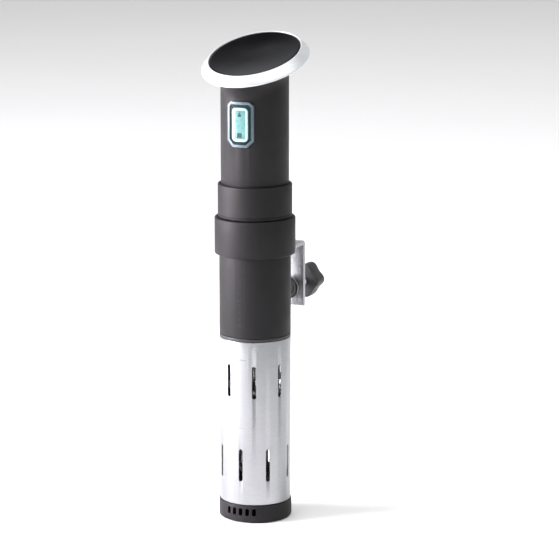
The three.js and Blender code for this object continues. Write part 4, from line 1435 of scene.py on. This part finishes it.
class MakeGuide(bpy.types.Operator):
    """Guide plate at the foot of the stay rods, with the bush that the shaft turns in."""

    bl_idname = "circulator.make_guide"
    bl_label = "Guide plate and bush"
    bl_options = {"REGISTER", "UNDO"}

    def execute(self, context):
        start, end = low("guide_plate").z, high("guide_plate").z
        reach = high("guide_plate").y
        bush_radius, bush_bore = 5.6 * MM, 3.4 * MM
        plate = sleeve("shaft_guide", reach, bush_radius + GAP, start, end, 0.5 * MM)
        for mark in STAYS:
            spot = middle("stay_rod_" + mark)
            angle = math.atan2(spot.y, spot.x) + math.pi / 3
            window = (9.6 * MM * math.cos(angle), 9.6 * MM * math.sin(angle))
            carve(
                plate, rod_at("stay_hole", spot, STAY_HOLE, start - MM, end + MM, facets=24),
                rod_at("flow_hole", window, 2.2 * MM, start - MM, end + MM))
        place(plate, LOOKS["plastic"], "housing", "guide_plate", slot="dark_plastic")
        start, end = low("guide_bush").z, high("guide_bush").z
        bush = sleeve("shaft_bush", bush_radius, bush_bore, start, end, 0.5 * MM, 64)
        place(bush, LOOKS["pale"], "housing", "guide_bush", slot="pale_plastic")
        return {"FINISHED"}


class MakeImpeller(bpy.types.Operator):
    """Impeller with a flat disc, a hub and swept vanes."""

    bl_idname = "circulator.make_impeller"
    bl_label = "Impeller"
    bl_options = {"REGISTER", "UNDO"}

    def execute(self, context):
        start, end = low("impeller").z, high("impeller").z
        radius = (high("impeller").x - low("impeller").x) / 2
        disc = end - 2.5 * MM
        hub = 6 * MM
        wheel = spun("pump_wheel", [
            (0, start), (4.6 * MM, start, 0.6 * MM), (hub, start + 1.6 * MM, 0.8 * MM),
            (hub, disc, 1.4 * MM), (radius, disc, 0.4 * MM), (radius, end, 0.6 * MM), (0, end)])
        vanes = 6
        sweep = math.radians(38)
        half = 0.9 * MM
        inner, outer = 5 * MM, radius - 0.4 * MM
        one_side, other_side = [], []
        for i in range(9):
            share = i / 8
            reach = inner + (outer - inner) * share
            angle = sweep * share ** 1.3
            for side, line in ((half, one_side), (-half, other_side)):
                bearing = angle + side / reach
                line.append((reach * math.cos(bearing), reach * math.sin(bearing)))
        outline = other_side + one_side[::-1]
        vane_low, vane_high = start + 3 * MM, disc + 0.8 * MM
        for i in range(vanes):
            vane = prism("vane", outline, vane_high - vane_low, Matrix.Translation((0, 0, vane_low)))
            weld(wheel, turn(vane, FULL * i / vanes))
        carve(wheel, rod("shaft_hole", 3.3 * MM, low("drive_shaft").z - GAP, end + MM, facets=48))
        place(wheel, LOOKS["plastic"], "rotor", "impeller", slot="dark_plastic", angle=30)
        return {"FINISHED"}


class FinishInside(bpy.types.Operator):
    """Materials of the pieces that the casing hides, kept as the frame has them."""

    bl_idname = "circulator.finish_inside"
    bl_label = "Inner pieces"
    bl_options = {"REGISTER", "UNDO"}

    def execute(self, context):
        kinds = {
            "aluminium": ("motor_can", "heat_sink"),
            "turned": ("motor_rotor", "motor_screw_a", "motor_screw_b", "shaft_coupling"),
            "plastic": ("cooling_fan", "motor_end_cap", "board_frame", "relay", "buzzer", "gland_nut"),
            "rubber": ("panel_gasket",),
            "board": ("main_board", "display_board", "key_board"),
            "pale": ("display_module", "key_switch"),
            "sleeve": ("capacitor",),
        }
        for look, nodes in kinds.items():
            for node in nodes:
                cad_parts[node].data.materials[0] = LOOKS[look]
        return {"FINISHED"}


class SetStage(bpy.types.Operator):
    """Pale floor, soft studio lights and the camera."""

    bl_idname = "circulator.set_stage"
    bl_label = "Stage, lights and camera"
    bl_options = {"REGISTER", "UNDO"}

    def execute(self, context):
        clear()
        bpy.ops.mesh.primitive_plane_add(size=14, location=(0, 0, -0.5 * MM))
        floor = settle(bpy.context.object)
        floor.name = "studio_floor"
        paper = Shader("studio_paper", (0.86, 0.855, 0.85), 0.7, 0.0)
        paper.rough(paper.noise(30, 3), 0.62, 0.78)
        paper.tint(paper.mix(paper.noise(3, 3), (0.85, 0.845, 0.84), (0.88, 0.875, 0.87)))
        floor.data.materials.append(paper.material)

        world = bpy.data.worlds.new("studio_air")
        world.use_nodes = True
        tree = world.node_tree
        air = tree.nodes["Background"]
        spread = tree.nodes.new("ShaderNodeSeparateXYZ")
        tree.links.new(tree.nodes.new("ShaderNodeTexCoord").outputs["Generated"], spread.inputs["Vector"])
        fade = tree.nodes.new("ShaderNodeMapRange")
        fade.interpolation_type = "SMOOTHSTEP"
        for socket, value in (("From Min", 0.48), ("From Max", 0.65), ("To Min", 0.68), ("To Max", 0.03)):
            fade.inputs[socket].default_value = value
        tree.links.new(spread.outputs["Z"], fade.inputs["Value"])
        tree.links.new(fade.outputs["Result"], air.inputs["Strength"])
        air.inputs["Color"].default_value = (0.93, 0.95, 0.97, 1)
        bpy.context.scene.world = world
        bpy.context.scene.view_settings.view_transform = "Standard"

        aim = Vector((0.012, 0.02, 0.187))
        lights = (
            ("key_softbox", (-1.4, -0.85, 0.65), 1.0, 1.0, 116, (0.97, 0.92, 1.0)),
            ("front_softbox", (-0.5, -2.2, 1.6), 0.8, 0.8, 8, (1.0, 1.0, 1.0)),
            ("top_softbox", (0.6, 0.0, 4.5), 6.0, 8.0, 312, (1.0, 1.0, 1.0)),
        )
        for name, spot, size, depth, power, tone in lights:
            bpy.ops.object.light_add(type="AREA", location=spot)
            light = bpy.context.object
            light.name = name
            light.data.shape = "RECTANGLE"
            light.data.size, light.data.size_y = size, depth
            light.data.energy = power
            light.data.color = tone
            light.rotation_euler = (aim - light.location).to_track_quat("-Z", "Y").to_euler()

        azimuth, height = math.radians(24), math.radians(12)
        away = 2.2
        spot = aim + away * Vector((
            math.sin(azimuth) * math.cos(height), -math.cos(azimuth) * math.cos(height), math.sin(height)))
        bpy.ops.object.camera_add(location=spot)
        camera = bpy.context.object
        camera.rotation_euler = (aim - camera.location).to_track_quat("-Z", "Y").to_euler()
        camera.data.lens = 180
        camera.data.clip_end = 30
        bpy.context.scene.camera = camera
        return {"FINISHED"}


# ---------------------------------------------------------------- panel and main


OPERATORS = (
    MakeBody, MakeBezel, MakePanel, MakeKey, MakeCollar, MakeLowerTube, MakeGland, MakeBulkhead,
    MakeHeater, MakeRods, MakeGuide, MakeImpeller, MakeSkirt, MakeFoot, MakeClampCollar,
    MakeBracket, MakeJaws, MakeSpindle, MakeLock, FinishInside, SetStage)


class CirculatorPanel(bpy.types.Panel):
    """Lists the circulator's operators, sizes and colours."""

    bl_idname = "VIEW3D_PT_circulator"
    bl_label = "Sous vide circulator"
    bl_space_type = "VIEW_3D"
    bl_region_type = "UI"
    bl_category = "Circulator"

    def draw(self, context):
        for operator in OPERATORS:
            self.layout.operator(operator.bl_idname)
        for group in (context.scene.circulator_sizes, context.scene.circulator_colours):
            column = self.layout.column()
            for name in group.__annotations__:
                column.prop(group, name)


CLASSES = (CirculatorSizes, CirculatorColours, *OPERATORS, CirculatorPanel)


def register():
    for item in CLASSES:
        bpy.utils.register_class(item)
    bpy.types.Scene.circulator_sizes = PointerProperty(type=CirculatorSizes)
    bpy.types.Scene.circulator_colours = PointerProperty(type=CirculatorColours)


def unregister():
    del bpy.types.Scene.circulator_colours
    del bpy.types.Scene.circulator_sizes
    for item in reversed(CLASSES):
        bpy.utils.unregister_class(item)


def main():
    register()
    make_looks()
    for operator in OPERATORS:
        section, name = operator.bl_idname.split(".")
        getattr(getattr(bpy.ops, section), name)()


if __name__ == "__main__":
    main()
